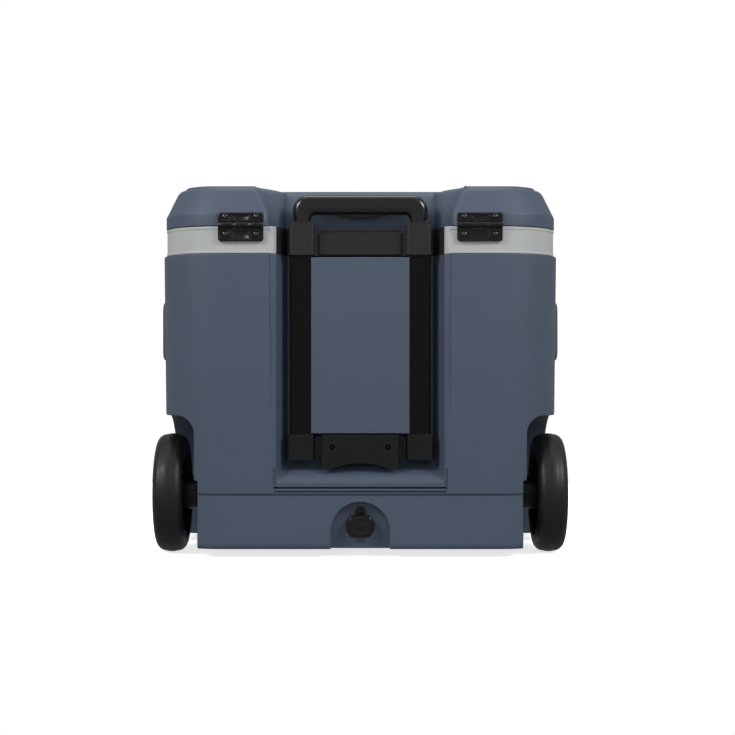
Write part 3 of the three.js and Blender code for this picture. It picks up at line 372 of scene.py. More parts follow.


# The finishes share one recipe: slow change of tone, moulded or blasted grain, paler edges that are partly rubbing
# and partly painted highlight, and roughness that varies with both. Sizes are in millimetres.

def makeFinish(name, look):
    material = bpy.data.materials.new(name)
    material.use_nodes = True
    tree = material.node_tree
    shader = tree.nodes["Principled BSDF"]
    where = addNode(tree, "TexCoord").outputs["Object"]

    def noise(size, detail, roughness):
        return addNode(tree, "TexNoise", {"Vector": where, "Scale": 1 / (size * mm), "Detail": detail,
                                          "Roughness": roughness}).outputs["Fac"]
    tone = noise(look.get("toneSize", 70), 5, 0.6)
    grain = noise(look.get("grainSize", 0.9), 3, 0.5)
    normal = addNode(tree, "NewGeometry").outputs["Normal"]
    softNormal = addNode(tree, "Bevel", {"Radius": look.get("wearAndHighlightWidth", 1.6) * mm}, samples=4)
    facing = addNode(tree, "VectorMath", {0: softNormal.outputs[0], 1: normal}, operation="DOT_PRODUCT")
    # Edge mask: the paler edges are partly rubbing and partly a painted highlight for light caught on rounded edges.
    edge = mapRange(tree, facing.outputs["Value"], 0.985, 0.86, 0, look.get("wearAndHighlight", 0.35))
    scuff = noise(look.get("scuffSize", 9), 6, 0.7)
    patchy = mapRange(tree, scuff, 0.35, 0.65, 0.45, 1)
    wearAndHighlightMask = addNode(tree, "Math", {0: edge, 1: patchy}, operation="MULTIPLY")
    colours = addNode(tree, "Mix", {"Factor": tone, 6: linear(look["colour"]),
                                    7: linear(look.get("colour2", look["colour"]))}, data_type="RGBA")
    speck = mapRange(tree, grain, 0.3, 0.7, 1 - look.get("speck", 0.05), 1 + look.get("speck", 0.05))
    grained = addNode(tree, "VectorMath", {0: colours.outputs[2], 1: speck}, operation="MULTIPLY")
    final = addNode(tree, "Mix", {"Factor": wearAndHighlightMask.outputs[0], 6: grained.outputs[0],
                                  7: linear(look.get("wornEdgeAndHighlightColour", look["colour"]))}, data_type="RGBA")
    tree.links.new(final.outputs[2], shader.inputs["Base Color"])
    rough = look["roughness"]
    spread = look.get("roughSpread", 0.08)
    tree.links.new(mapRange(tree, scuff, 0.3, 0.7, rough - spread, rough + spread), shader.inputs["Roughness"])
    fine = addNode(tree, "Bump", {"Height": grain, "Strength": look.get("bump", 0.35),
                                  "Distance": look.get("grainDepth", 0.12) * mm})
    waves = addNode(tree, "Bump", {"Height": tone, "Normal": fine.outputs["Normal"],
                                   "Strength": 0.25, "Distance": look.get("waveDepth", 0.25) * mm})
    tree.links.new(waves.outputs["Normal"], shader.inputs["Normal"])
    setInputs(shader, {"Metallic": look.get("metallic", 0), "Coat Weight": look.get("coat", 0),
                       "Sheen Weight": look.get("sheen", 0)})
    if not look.get("metallic", 0):
        shader.inputs["Specular IOR Level"].default_value = look.get("specular", 0.4)
    return material


# Each finish's paler edge colour below is part rubbing, part painted highlight.
# Textured injection-moulded polypropylene, slate blue.
slateMould = makeFinish("slate_moulded_polypropylene", {
    "colour": "#414b5a", "colour2": "#455060", "wornEdgeAndHighlightColour": "#667282", "roughness": 0.5,
    "grainSize": 0.8, "grainDepth": 0.1, "toneSize": 90, "wearAndHighlight": 0.4, "specular": 0.35})
# Smoother silver-grey polypropylene with a fine mica fleck.
silverMould = makeFinish("silver_mica_polypropylene", {
    "colour": "#a1a4a2", "colour2": "#abaeac", "wornEdgeAndHighlightColour": "#cfced1", "roughness": 0.4,
    "grainSize": 0.5, "grainDepth": 0.05, "speck": 0.09, "wearAndHighlight": 0.5, "specular": 0.45})
# Glass-filled nylon, charcoal, with a dull spark-eroded face.
charcoalNylon = makeFinish("charcoal_glass_filled_nylon", {
    "colour": "#1d1d1e", "colour2": "#222223", "wornEdgeAndHighlightColour": "#5c5c5c", "roughness": 0.5,
    "grainSize": 0.6, "grainDepth": 0.08, "wearAndHighlight": 0.55, "specular": 0.3})
# Gloss-black powder coat with a slight orange peel, on steel tube.
blackPowderCoat = makeFinish("black_powder_coated_steel", {
    "colour": "#050505", "colour2": "#080808", "wornEdgeAndHighlightColour": "#3a3c3e", "roughness": 0.28, "roughSpread": 0.05,
    "grainSize": 2.2, "grainDepth": 0.05, "bump": 0.2, "wearAndHighlight": 0.35, "specular": 0.2})
# Black ABS, lightly textured.
blackAbs = makeFinish("black_textured_abs", {
    "colour": "#0b0b0b", "colour2": "#0f0f0e", "wornEdgeAndHighlightColour": "#474745", "roughness": 0.33,
    "grainSize": 0.7, "grainDepth": 0.07, "wearAndHighlight": 0.4, "specular": 0.35})
# The same ABS polished by hands, for the grip.
gripAbs = makeFinish("black_polished_abs", {
    "colour": "#0b0b0b", "colour2": "#10100f", "wornEdgeAndHighlightColour": "#474745", "roughness": 0.24, "roughSpread": 0.05,
    "grainSize": 0.9, "grainDepth": 0.05, "wearAndHighlight": 0.3, "specular": 0.62})
# Solid rubber-like tyre compound with dust held in its grain.
tyreRubber = makeFinish("black_tyre_rubber", {
    "colour": "#0b0b0b", "colour2": "#121110", "wornEdgeAndHighlightColour": "#2b2926", "roughness": 0.48, "roughSpread": 0.1,
    "grainSize": 1.3, "grainDepth": 0.2, "toneSize": 25, "speck": 0.16, "specular": 0.4})
# Blow-smooth white high-density polyethylene.
linerHdpe = makeFinish("white_polyethylene", {
    "colour": "#e3e5e4", "colour2": "#eceeed", "wornEdgeAndHighlightColour": "#f6f6f6", "roughness": 0.4,
    "grainSize": 1.5, "grainDepth": 0.05, "speck": 0.02, "specular": 0.4})
# Poured polyurethane foam, cream, open cut surface.
pourFoam = makeFinish("cream_polyurethane_foam", {
    "colour": "#d9cda6", "colour2": "#e6dcbc", "wornEdgeAndHighlightColour": "#efe8d2", "roughness": 0.9, "roughSpread": 0.05,
    "grainSize": 1.4, "grainDepth": 0.5, "bump": 0.7, "speck": 0.12, "specular": 0.2})
# Extruded grey rubber seal.
sealRubber = makeFinish("grey_seal_rubber", {
    "colour": "#5f6264", "colour2": "#6a6d6f", "wornEdgeAndHighlightColour": "#7f8284", "roughness": 0.75,
    "grainSize": 0.8, "grainDepth": 0.08, "speck": 0.06, "specular": 0.3})
# Zinc-plated steel with faint drawing marks.
zincPlate = makeFinish("zinc_plated_steel", {
    "colour": "#a9acaf", "colour2": "#babdbf", "wornEdgeAndHighlightColour": "#d6d8da", "roughness": 0.3, "metallic": 1,
    "grainSize": 0.6, "grainDepth": 0.03, "toneSize": 12})
# Blackened steel screw heads; their near-white edges are rubbed steel and painted glints together.
darkScrew = makeFinish("blackened_steel", {
    "colour": "#3a3a3b", "colour2": "#48484a", "wornEdgeAndHighlightColour": "#c9cbcc", "roughness": 0.24, "metallic": 1,
    "grainSize": 0.5, "grainDepth": 0.02, "toneSize": 6, "wearAndHighlight": 0.9, "wearAndHighlightWidth": 0.5})
# Dark burnished collar under the grip.
ringNylon = makeFinish("dark_brown_nylon", {
    "colour": "#1d1715", "colour2": "#241b18", "wornEdgeAndHighlightColour": "#4a3f3a", "roughness": 0.45,
    "grainSize": 0.7, "grainDepth": 0.05, "specular": 0.3})
print("camera, light and finishes made")


# The tub's shell, whose sizes the other pieces are set from.

shellLow, shellHigh = span("outer_shell")
bandLow, bandHigh = span("rim_band")
lidLow, lidHigh = span("lid_shell")
wheelLow, wheelHigh = span("tyre_right")
shell = {"padProud": 7, "corner": 90, "step": 89, "draft": 0.0114, "wall": 3, "baseInset": 2.5, "baseFlare": 3}
shell["halfX"] = shellHigh.x - shell["padProud"]
shell["halfY"] = shellHigh.y
backY = -shell["halfY"] + 3  # plane of the lid's lip, which the recess depths are measured from
recess = {"outer": 117, "inner": 103.5, "facet": 9, "facetDepth": 5, "depth": 46, "ledgeHalf": 122,
          "ramp": [(102, 5.6), (106, 7), (110, 10), (114, 14.5), (118, 21), (122, 28.5), (126, 36.5), (129.5, 42),
                   (133.5, 46)],
          "ledges": [(100.5, 124, 6), (96.5, 99.3, 13), (91.6, 93.4, 10)],
          "panelHalf": 64.5, "lip": 69, "lipRear": 17.3, "lipFront": 15, "front": 12.6, "panelBottom": 172.5,
          "panelTop": 419.3}
drain = {"archRadius": 41, "archZ": 36.5, "depth": 18, "capZ": 43.6}
well = {"wallX": 232.5, "baseX": 227.5, "stepZ": 107, "top": 197, "fillet": 25, "archRadius": 107, "archY": -113}


def shellOutline(inset):
    return roundedOutline(shell["halfX"] - inset, shell["halfY"] - inset, shell["corner"] - inset, 14)


def bodyLevels(inset, bottom, top):
    def outline(z, extra):
        return z, shellOutline(inset + extra)
    lean = (shellHigh.z - shell["step"]) * shell["draft"]
    base = lean + shell["baseInset"]
    return [outline(bottom, base - shell["baseFlare"] + shell["wall"] * 1.4),
            outline(bottom + 2.5, base - shell["baseFlare"] + shell["wall"] * 0.5),
            outline(bottom + 8, base - shell["baseFlare"]),
            outline(shell["step"] - 1.5, base),
            outline(shell["step"], lean),
            outline(top, (shellHigh.z - top) * shell["draft"])]


# The panel between the rails bows out in the middle, and its edges lap over the rails.
def bowedPanel(shrink, bottom, top):
    half, lip = recess["panelHalf"] - shrink, recess["lip"] if shrink == 0 else recess["panelHalf"] - shrink
    rear, edge, front = (backY + recess[key] for key in ("lipRear", "lipFront", "front"))
    edge, front = edge + shrink, front + shrink
    behind = backY + recess["depth"] + 6 + shrink
    side = [(-half, behind)]
    if shrink == 0:
        side += [(-half, rear), (-lip, rear)] + arcPoints(-lip + 1.6, edge + 1.6, 1.6, 180, 262, 5)
    else:
        side.append((-half, edge))
    start = side[-1]
    side += bezierPoints(start, (start[0] * 0.7, front), (-half * 0.4, front), (0, front), 14)[:-1]
    outline = side + [(0, front)] + [(-x, y) for x, y in reversed(side)]
    return prism("panel_block", outline, bottom, top)


def handleRecess(grow, bottom, top):
    def outline(depth):
        floorY = backY + depth + grow
        mouth = recess["outer"] + recess["facet"] + grow
        facetY = min(backY + recess["facetDepth"] + grow, floorY - 0.3)
        narrow = (recess["outer"] - recess["inner"]) * depth / recess["depth"]
        half = [(mouth, -shell["halfY"] - 4), (mouth, backY), (recess["outer"] + grow, facetY),
                (recess["outer"] - narrow + grow, floorY)]
        return half + [(-x, y) for x, y in reversed(half)]
    if bottom > recess["ramp"][0][0]:
        return stack("handle_recess", [(bottom, outline(recess["depth"])), (top, outline(recess["depth"]))])
    ramp = [(z - grow, outline(depth)) for z, depth in recess["ramp"]]
    return stack("handle_recess", ramp + [(top, outline(recess["depth"]))])


def ledges():
    return [blockBetween("ledge", (-recess["ledgeHalf"] + i, -shell["halfY"] - 4 - i, low),
                         (recess["ledgeHalf"] - i, backY + depth, high))
            for i, (low, high, depth) in enumerate(recess["ledges"])]


def wheelWell(grow):
    inner, ceiling, far = well["wallX"] - grow, well["top"] + grow, shell["halfX"] + 40
    fillet = well["fillet"]
    section = [(far, -12), (inner, -12)]
    section += arcPoints(inner + fillet, ceiling - fillet, fillet, 180, 90, 10)
    section += [(far, ceiling)]
    rear = -shell["halfY"] * 1.3
    across = prism("well_section", section, rear, shell["halfY"], toY)
    foot = blockBetween("well_foot", (well["baseX"] - grow, rear - 1, -14), (far - 1, shell["halfY"] - 1,
                                                                           well["stepZ"] + grow))
    weld(across, foot)
    radius = well["archRadius"] + grow
    profile = [(rear + 2, -10), (well["archY"] + radius, -10)]
    profile += arcPoints(well["archY"], well["top"] - well["archRadius"], radius, 0, 90, 20)
    profile += [(rear + 2, ceiling)]
    forward = prism("well_arch", profile, 0, far + 4, toX)
    return keepInside(across, forward)


def scoop(grow):
    face = shell["halfX"] + shell["padProud"]
    back, half = face - 26 - grow, 62 + grow
    mouth = prism("scoop", roundedOutline(half, 20 + grow, 8 + grow, 6, 0, 308), back, face + 4, toX)
    roof = prism("scoop_roof", roundedOutline(half - 0.5, 26 + grow, 8 + grow, 6, 0, 320), back + 0.5, face - 10, toX)
    return weld(mouth, roof)


def drainArch(grow):
    radius = drain["archRadius"] + grow
    outline = [(-radius, 2), (radius, 2)] + arcPoints(0, drain["archZ"], radius, 0, 180, 28)
    return prism("drain_arch", outline, -shell["halfY"] - 4, backY + drain["depth"] + grow, toY)


def bodyCutters(grow):
    bowed = bowedPanel(grow, recess["panelBottom"] + grow, recess["panelTop"] - grow)
    cutters = [cutAway(handleRecess(grow, 0, shellHigh.z + 2), bowed), drainArch(grow)]
    for shape in (wheelWell(grow), scoop(grow)):
        cutters += [shape, mirroredCopy(shape, shape.name + "_left")]
    return cutters


def sideHandlePad():
    middle = (274 + 362) / 2
    face = shell["halfX"] + shell["padProud"]
    levels = [(250, roundedOutline(110, 44, 16, 6, 0, middle))]
    levels += [(face - 6 + 6 * math.sin(a), roundedOutline(104 + 6 * math.cos(a), 38 + 6 * math.cos(a),
                                                          10 + 6 * math.cos(a), 6, 0, middle))
               for a in (0, 0.4, 0.8, 1.2, math.pi / 2)]
    return stack("side_pad", levels, toX)


shellBody = stack("shell_body", bodyLevels(0, shellLow.z, shellHigh.z))
pad = sideHandlePad()
weld(shellBody, mirroredCopy(pad, "side_pad_left"), pad)
cutAway(shellBody, *bodyCutters(0))
roundEdges(shellBody, 1.6, 3, 38, False)
cutAway(shellBody, *ledges())
hollow = stack("shell_hollow", bodyLevels(shell["wall"], shellLow.z + shell["wall"], shellHigh.z - 3))
ledgeReach = recess["ledgeHalf"] + shell["wall"]  # the skin runs on behind the ledges
ledgeBack = blockBetween("ledge_back", (-ledgeReach, -shell["halfY"] - 6, 88), (ledgeReach, backY + 16.5, 127))
cutAway(hollow, *bodyCutters(shell["wall"]), ledgeBack)
neckOutline = roundedOutline(shell["halfX"] - 10, shell["halfY"] - 10, 80, 14)
neck = cutAway(prism("shell_neck", neckOutline, shellHigh.z - 5, shellHigh.z + 2),
               handleRecess(shell["wall"], 200, shellHigh.z + 4))
cutAway(shellBody, hollow, neck)
smoothShade(shellBody)
show(shellBody, "tub", slateMould, "slate_blue_shell", "outer_shell")
print("shell made", len(shellBody.data.polygons))


# The silver band between tub and lid.

def rimBand():
    def ring(inset, z):
        return z, shellOutline(inset)
    low, high = bandLow.z, bandHigh.z
    face = shell["halfX"] - bandHigh.x
    bead = [(face + 1.2, low), (face, low + 0.8), (face, low + 3), (face + 0.8, low + 3.8), (face + 0.8, high - 4.4),
            (face, high - 3.8), (face, high - 0.9), (face + 0.9, high)]
    band = stack("rim_band_face", [ring(inset, z) for inset, z in bead])
    inside = prism("band_inside", ring(face + 3, 0)[1], low - 2, high + 2)
    cutAway(inside, handleRecess(3, 200, high + 4))
    cutAway(band, handleRecess(0, 200, high + 6), inside)
    # The band's top runs in over the liner's flange where the lid is cut away.
    shelf = cutAway(blockBetween("band_shelf", (-136, backY + 2, high - 0.3), (136, backY + 63, high)),
                    handleRecess(0.4, 200, high + 8))
    return weld(roundEdges(band, 0.5, 2, 50, False), shelf)


band = smoothShade(rimBand())
show(band, "tub", silverMould, "silver_band", "rim_band")
band.data.materials.append(charcoalNylon)  # painted shade: the band's faces inside the recess take the charcoal finish to stand for the recess's shadow
# Painted shade: faces found by place inside the recess get the dark finish in place of their shadow.
for face in band.data.polygons:
    if abs(face.center.x) < 0.1165 and face.center.y < -0.15:
        face.material_index = 1
print("band made")


# The lid.

lipZ, shoulderZ, deckZ = 480, 514, 517


def lidOutline(inset):
    corner = shell["corner"] - 3 - inset * 0.8 - max(inset - 22, 0) * 2
    return roundedOutline(lidHigh.x - inset, lidHigh.x - inset - 54, corner, 14)


def lidCutOut(grow, bottom, top):
    def plan(mouth, mouthY, narrow, depth):
        back, curve = backY + depth + grow, 12
        lead = 0.3 if grow == 0 else -grow
        half = [(mouth + curve, -shell["halfY"] - 4), (mouth + curve, mouthY - lead)]
        half += list(reversed(arcPoints(mouth + curve, mouthY + curve, curve - grow, 180, 262, 8)))
        for i in range(1, 17):
            share = i / 16
            ease = (1 - math.cos(math.pi * share)) / 2
            half.append((mouth + grow + (narrow - mouth) * ease, mouthY + curve + (back - mouthY - curve) * share))
        return half + [(-x, y) for x, y in reversed(half)]
    low = plan(126, backY, 106, 60)
    levels = [(bottom, low), (lipZ, low)]
    for share, lean, depth in ((0.45, 7.6, 64), (0.8, 13.5, 69.5), (1, 17, 74)):
        levels.append((lipZ + 34 * share - grow, plan(126 + 14 * share, backY + lean, 106, depth)))
    for share, depth in ((0.25, 79), (0.6, 89), (1, 104)):
        rim = plan(140 + 8 * share, backY + 17 + 5 * share, 106 + 12 * share, depth)
        levels.append((shoulderZ + 6.4 * share - grow, rim))
    return stack("lid_cut_out", levels + [(top + 4, plan(148, backY + 22, 118, 104))])


cupPlaces = [(x, y) for y in (122, -78) for x in (-178, 178)]


def cups(grow):
    return [roundBar("cup", 40 + grow, lidHigh.z - 12 - grow, lidHigh.z + 4, toZ, x, y, 64) for x, y in cupPlaces]


lidProfile = [(0.9, lidLow.z), (0, lidLow.z + 0.9), (0, lipZ - 2.2), (0.5, lipZ), (1.6, lipZ + 2),
              (15.4, shoulderZ - 3), (17.6, shoulderZ), (20, deckZ - 0.6), (22, deckZ), (25.6, deckZ),
              (27, deckZ + 0.5), (29, lidHigh.z - 0.7), (31.4, lidHigh.z)]
lidBody = stack("lid_body", [(z, lidOutline(inset)) for inset, z in lidProfile])
grabLip = prism("lid_grab_lip", roundedOutline(62, 13.25, 9, 6, 0, -backY - 6 + 1.25), lidLow.z + 2, 477)
weld(lidBody, grabLip)
cutAway(lidBody, lidCutOut(0, lidLow.z - 4, lidHigh.z), *cups(0))
roundEdges(lidBody, 0.8, 2, 42, False)
lidWall = 3
lidHollow = stack("lid_hollow", [(lidLow.z - 2, lidOutline(lidWall)), (lipZ - 1, lidOutline(lidWall)),
                                 (shoulderZ - 3, lidOutline(20)), (deckZ - lidWall, lidOutline(22))])
cutAway(lidHollow, lidCutOut(lidWall, lidLow.z - 6, lidHigh.z), *cups(lidWall))
cutAway(lidBody, lidHollow)
smoothShade(lidBody)
show(lidBody, "lid", slateMould, "slate_blue_shell", "lid_shell")
print("lid made", len(lidBody.data.polygons))


# The white liners and the seal.

cavity = {"halfX": 238, "halfY": 164, "corner": 60, "shift": 18, "floor": 34, "draft": 8, "bevel": 12}


def cavityOutline(grow, inset):
    return roundedOutline(cavity["halfX"] + grow - inset, cavity["halfY"] + grow - inset,
                          cavity["corner"] + grow - inset, 12, 0, cavity["shift"])


def cavityBlock(grow, bottom, top):
    def lean(z):
        return cavity["draft"] * (bandHigh.z - z) / (bandHigh.z - cavity["floor"])
    levels = [(bottom, cavityOutline(grow, lean(bottom) + cavity["bevel"])),
              (bottom + cavity["bevel"] * 0.3, cavityOutline(grow, lean(bottom) + cavity["bevel"] * 0.35)),
              (bottom + cavity["bevel"], cavityOutline(grow, lean(bottom + cavity["bevel"]))),
              (top, cavityOutline(grow, lean(top)))]
    room = wheelWell(22 - grow)
    return cutAway(stack("cavity", levels), mirroredCopy(room, "well_room"), room)


def innerLiner():
    wall, top = 2.5, bandHigh.z - 0.2
    flangeOutline = roundedOutline(shell["halfX"] - 8.8, shell["halfY"] - 8.8, shell["corner"] - 8.5, 14)
    flange = cutAway(prism("liner_flange", flangeOutline, top - 3.5, top), handleRecess(3.3, 200, lidHigh.z))
    liner = weld(cavityBlock(wall, cavity["floor"] - wall, top - 1), flange)
    inside = cavityBlock(0, cavity["floor"], top + 3)
    hole = roundBar("drain_bore", 9.3, -150, -120, toY, 0, drain["capZ"], 32)
    return roundEdges(cutAway(liner, inside, hole), 1.6, 3, 40, False)


show(smoothShade(innerLiner()), "tub", linerHdpe, "white_liner", "inner_liner")


def plug(inset, bottom, top):
    levels = ((bottom, 3.5), (bottom + 1.2, 1), (bottom + 4, 0), (top, 0))
    return stack("lid_plug", [(z, cavityOutline(-3 - inset, extra)) for z, extra in levels])


def lidLiner():
    low, high = span("lid_liner")
    plate = cutAway(prism("lid_liner_plate", shellOutline(6.3), 463.5, high.z), lidCutOut(3.3, 440, lidHigh.z))
    tray = weld(plate, plug(0, low.z, 464.5))
    return roundEdges(cutAway(tray, plug(2.5, low.z + 2.5, lidHigh.z)), 1, 2, 40, False)


show(smoothShade(lidLiner()), "lid", linerHdpe, "white_liner", "lid_liner")


def lidGasket():
    low, high = span("lid_gasket")
    levels = [(low.z, 13), (low.z + 0.7, 14), (high.z - 0.7, 14), (high.z, 13)]
    seal = stack("lid_seal", [(z, cavityOutline(out, 0)) for z, out in levels])
    return cutAway(seal, prism("seal_inside", cavityOutline(6, 0), low.z - 2, high.z + 2))


show(smoothShade(lidGasket()), "lid", sealRubber, "seal_rubber", "lid_gasket")
print("liners and seal made")


# The front feet.

def frontFoot():
    low, high = span("front_foot_right")
    middle, half = (low + high) / 2, (high - low) / 2
    levels = [(low.z, 5.2), (low.z + 0.5, 4.2), (low.z + 1.4, 3.6), (high.z - 0.8, 0), (high.z, 0.6)]
    return stack("front_foot_right", [(z, roundedOutline(half.x - inset, half.y - inset, 9 - inset, 6, middle.x,
                                                         middle.y)) for z, inset in levels])


foot = smoothShade(frontFoot())
rightThenLeft(foot, "front_foot_pad", "tub", blackAbs, "black_plastic", "front_foot")
foot.name = "front_foot_pad_right"


# The wheels.

wheelMiddle = (wheelLow + wheelHigh) / 2
wheel = {"radius": (wheelHigh.z - wheelLow.z) / 2, "half": (wheelHigh.x - wheelLow.x) / 2, "rim": 60, "shoulder": 13,
         "crown": 1.2, "dish": 7, "web": 4, "boss": 22, "innerBoss": 24}


def tyreProfile():
    half, shoulder = wheel["half"], wheel["shoulder"]
    points = [(wheel["rim"], -half + 2), (wheel["rim"] + 1, -half + 0.9), (wheel["rim"] + 2.2, -half + 0.4)]
    centre = wheel["radius"] - wheel["crown"] - shoulder
    for x, y in reversed(arcPoints(centre, 0, shoulder, 0, 90, 10)):
        points.append((x, -(half - shoulder) - y))
    tread = half - shoulder
    for i in range(1, 10):
        along = -tread + 2 * tread * i / 10
        points.append((wheel["radius"] - wheel["crown"] * (along / tread) ** 2, along))
    for x, y in arcPoints(centre, 0, shoulder, 0, 90, 10):
        points.append((x, half - shoulder + y))
    return points + [(wheel["rim"] + 2.2, half - 0.4), (wheel["rim"] + 1, half - 0.9), (wheel["rim"], half - 2)]


def hubProfile():
    outer, web, half = wheel["rim"] - 0.3, wheel["web"], wheel["half"]
    boss, neck = wheel["boss"], wheel["innerBoss"]
    bore, inner = 8.3, -(wheelMiddle.x - well["wallX"] - 1.5)
    face = half - wheel["dish"]
    return [(bore, inner), (neck - 0.8, inner), (neck, inner + 0.8),
            (neck, -web - 2), (neck + 2, -web), (outer - 6, -web), (outer - 4, -web - 2),
            (outer - 4, -half + 3.6), (outer - 3.4, -half + 3), (outer, -half + 3), (outer, half - 3),
            (outer - 3.2, half - 3), (outer - 4, half - 3.8), (outer - 4, web + 2), (outer - 6, web),
            (boss + 2, web), (boss, web + 2), (boss, face - 0.8),
            (boss - 0.8, face), (bore, face)]


def hubWithRibs():
    hub = spun("wheel_hub_right", hubProfile(), wheelMiddle, steps=72)
    face, ribs = wheel["half"] - wheel["dish"], []
    root, tip = wheel["boss"] - 1, wheel["rim"] - 3
    for i in range(8):
        outline = [(root, -2.2), (tip, -1.6), (tip, 1.6), (root, 2.2)]
        angle = math.tau * i / 8
        turned = [(wheelMiddle.y + r * math.cos(angle) - w * math.sin(angle),
                   wheelMiddle.z + r * math.sin(angle) + w * math.cos(angle)) for r, w in outline]
        lower = [(wheelMiddle.y + (y - wheelMiddle.y) * 0.995, wheelMiddle.z + (z - wheelMiddle.z) * 0.995)
                 for y, z in turned]
        ribs.append(stack("rib", [(wheelMiddle.x - wheel["web"] + 1, turned), (wheelMiddle.x + face - 5, turned),
                                  (wheelMiddle.x + face - 4, lower)], toX))
    return combine(hub, ribs, "UNION")


tyre = smoothShade(spun("tyre_rolling_right", tyreProfile(), wheelMiddle, steps=144), 30)
rightThenLeft(tyre, "tyre_rolling", "wheel_right", tyreRubber, "tyre_black", "tyre")
hub = smoothShade(roundEdges(hubWithRibs(), 0.5, 2, 50, False))
rightThenLeft(hub, "wheel_hub", "wheel_right", blackAbs, "black_plastic", "hub")
capAt = span("hub_cap_right")[0].x - wheelMiddle.x
capProfile = [(0, capAt), (19.2, capAt), (20, capAt + 0.6), (20, capAt + 1.5), (19, capAt + 2.2), (15, capAt + 3.4),
              (14, capAt + 3.2), (12.6, capAt + 4), (7, capAt + 5.3), (0, capAt + 5.7)]
hubCap = smoothShade(spun("hub_button_right", capProfile, wheelMiddle, steps=64), 35)
rightThenLeft(hubCap, "hub_button", "wheel_right", charcoalNylon, "charcoal_plastic", "hub_cap")
print("feet and wheels made")


# The telescoping tubes.

def squareTube(node, name, wall, corner):
    low, high = span(node)
    middle, half = (low + high) / 2, (high - low) / 2
    outside = roundedOutline(half.x, half.y, corner, 6, middle.x, middle.y)
    inside = roundedOutline(half.x - wall, half.y - wall, max(corner - wall, 0.8), 6, middle.x, middle.y)
    tube = prism(name, outside, low.z, high.z)
    return smoothShade(cutAway(tube, prism("tube_bore", inside, low.z - 2, high.z + 2)))


def bothSides(piece, name, body, finish, slotName, node):
    twinBody = body.replace("right", "left")
    show(mirroredCopy(piece, name + "_left"), twinBody, finish, slotName, node + "_left")
    piece.name = name + "_right"
    show(piece, body, finish, slotName, node + "_right")


for node, body, wall, corner in (("handle_rail", "tub", 2, 4), ("middle_tube", "handle_mid", 1.6, 2.4),
                                 ("inner_tube", "handle_top", 1.6, 2)):
    tube = squareTube(node + "_right", node, wall, corner)
    bothSides(tube, node + "_steel", body, blackPowderCoat, "black_steel_tube", node)
innerLow, innerHigh = span("inner_tube_right")
ringLow, ringHigh = span("tube_ring_right")
handleMiddle = (ringLow + ringHigh) / 2
ringWall = (ringHigh.x - ringLow.x - (innerHigh.x - innerLow.x)) / 2 - 0.4
ring = roundEdges(squareTube("tube_ring_right", "ring", ringWall, 3), 0.6, 2, 60)
bothSides(ring, "tube_end_ring", "handle_mid", ringNylon, "charcoal_plastic", "tube_ring")


# The grip and its release bar.

gripLow, gripHigh = span("grip")
grip = {"round": 10.6, "edge": 9.5, "corner": 22, "inner": 6, "thick": 28.2, "width": 26, "taper": 1.8, "yoke": 4}
underZ = gripHigh.z - grip["thick"]
yokeZ = underZ + 4.5


def gripOutline(inset):
    outer, top, foot = gripHigh.x - inset, gripHigh.z - inset, gripLow.z
    inside, under = gripHigh.x - grip["width"] + inset, underZ + inset
    corner, curve = grip["corner"] - inset, grip["inner"] + inset * 0.6
    taper = grip["taper"]
    half = [(inside + taper * 0.4, foot), (inside, foot + 6)]
    half += reversed([(-x, y) for x, y in arcPoints(-(inside - curve), under - curve, curve, 90, 180, 8)])
    right = [(outer - taper, foot), (outer, foot + 9)] + arcPoints(outer - corner, top - corner, corner, 0, 90, 12)
    left = [(-x, y) for x, y in reversed(right)]
    return right + left + [(-x, y) for x, y in half] + list(reversed(half))


def gripArch():
    soften = grip["round"]
    levels = []
    for side, base in ((-1, gripLow.y + soften), (1, gripHigh.y - soften)):
        angles = [math.radians(90 * i / 8) for i in range(9)]
        for a in (reversed(angles) if side < 0 else angles):
            levels.append((base + side * soften * math.sin(a), gripOutline(grip["edge"] * (1 - math.cos(a)))))
    return stack("grip_arch", levels, toY)


def gripPiece():
    arch = gripArch()
    room, reach = grip["yoke"] + 0.3, handleMiddle.x + 4.5
    y = handleMiddle.y
    tunnel = blockBetween("yoke_tunnel", (-reach, y - room, yokeZ - 0.3), (reach, y + room, yokeZ + 8.3))
    slot = blockBetween("bar_slot", (-41.3, y - room, underZ - 4), (41.3, y + room, yokeZ))
    holes = [roundBar("rod_hole", 2.9, gripLow.z - 2, yokeZ, toZ, side * handleMiddle.x, y, 20) for side in (-1, 1)]
    return roundEdges(cutAway(arch, tunnel, slot, *holes), 0.5, 2, 55)


show(smoothShade(gripPiece(), 45), "handle_top", gripAbs, "black_plastic", "grip")


def releaseBar():
    low, high = span("release_bar")
    half, y = 41, handleMiddle.y
    curve = bezierPoints((-half, underZ), (-half * 0.6, underZ), (-half * 0.6, low.z), (0, low.z), 14)
    curve += bezierPoints((0, low.z), (half * 0.6, low.z), (half * 0.6, underZ), (half, underZ), 14)
    outline = [(half, yokeZ + 1), (-half, yokeZ + 1), (-half, underZ)] + curve
    bar = roundEdges(prism("release_paddle", outline, low.y, high.y, toY), 1.2, 3, 50)
    reach = high.x
    yoke = blockBetween("yoke", (-reach, low.y + 1, yokeZ), (reach, high.y - 1, high.z))
    return weld(bar, yoke)


show(smoothShade(releaseBar()), "release", blackAbs, "black_plastic", "release_bar")


# The brackets that hold the rails.

recessWallY = backY + recess["depth"] - 0.3
bracket = {"crossTop": 459, "crossFront": 25, "collarBottom": 422.6, "plateFront": 12.5, "plateHalf": 53.5,
           "plateBottom": 122, "arch": 131, "lobe": 8, "blockBottom": 134.7, "screwX": 39, "screwZ": 153}


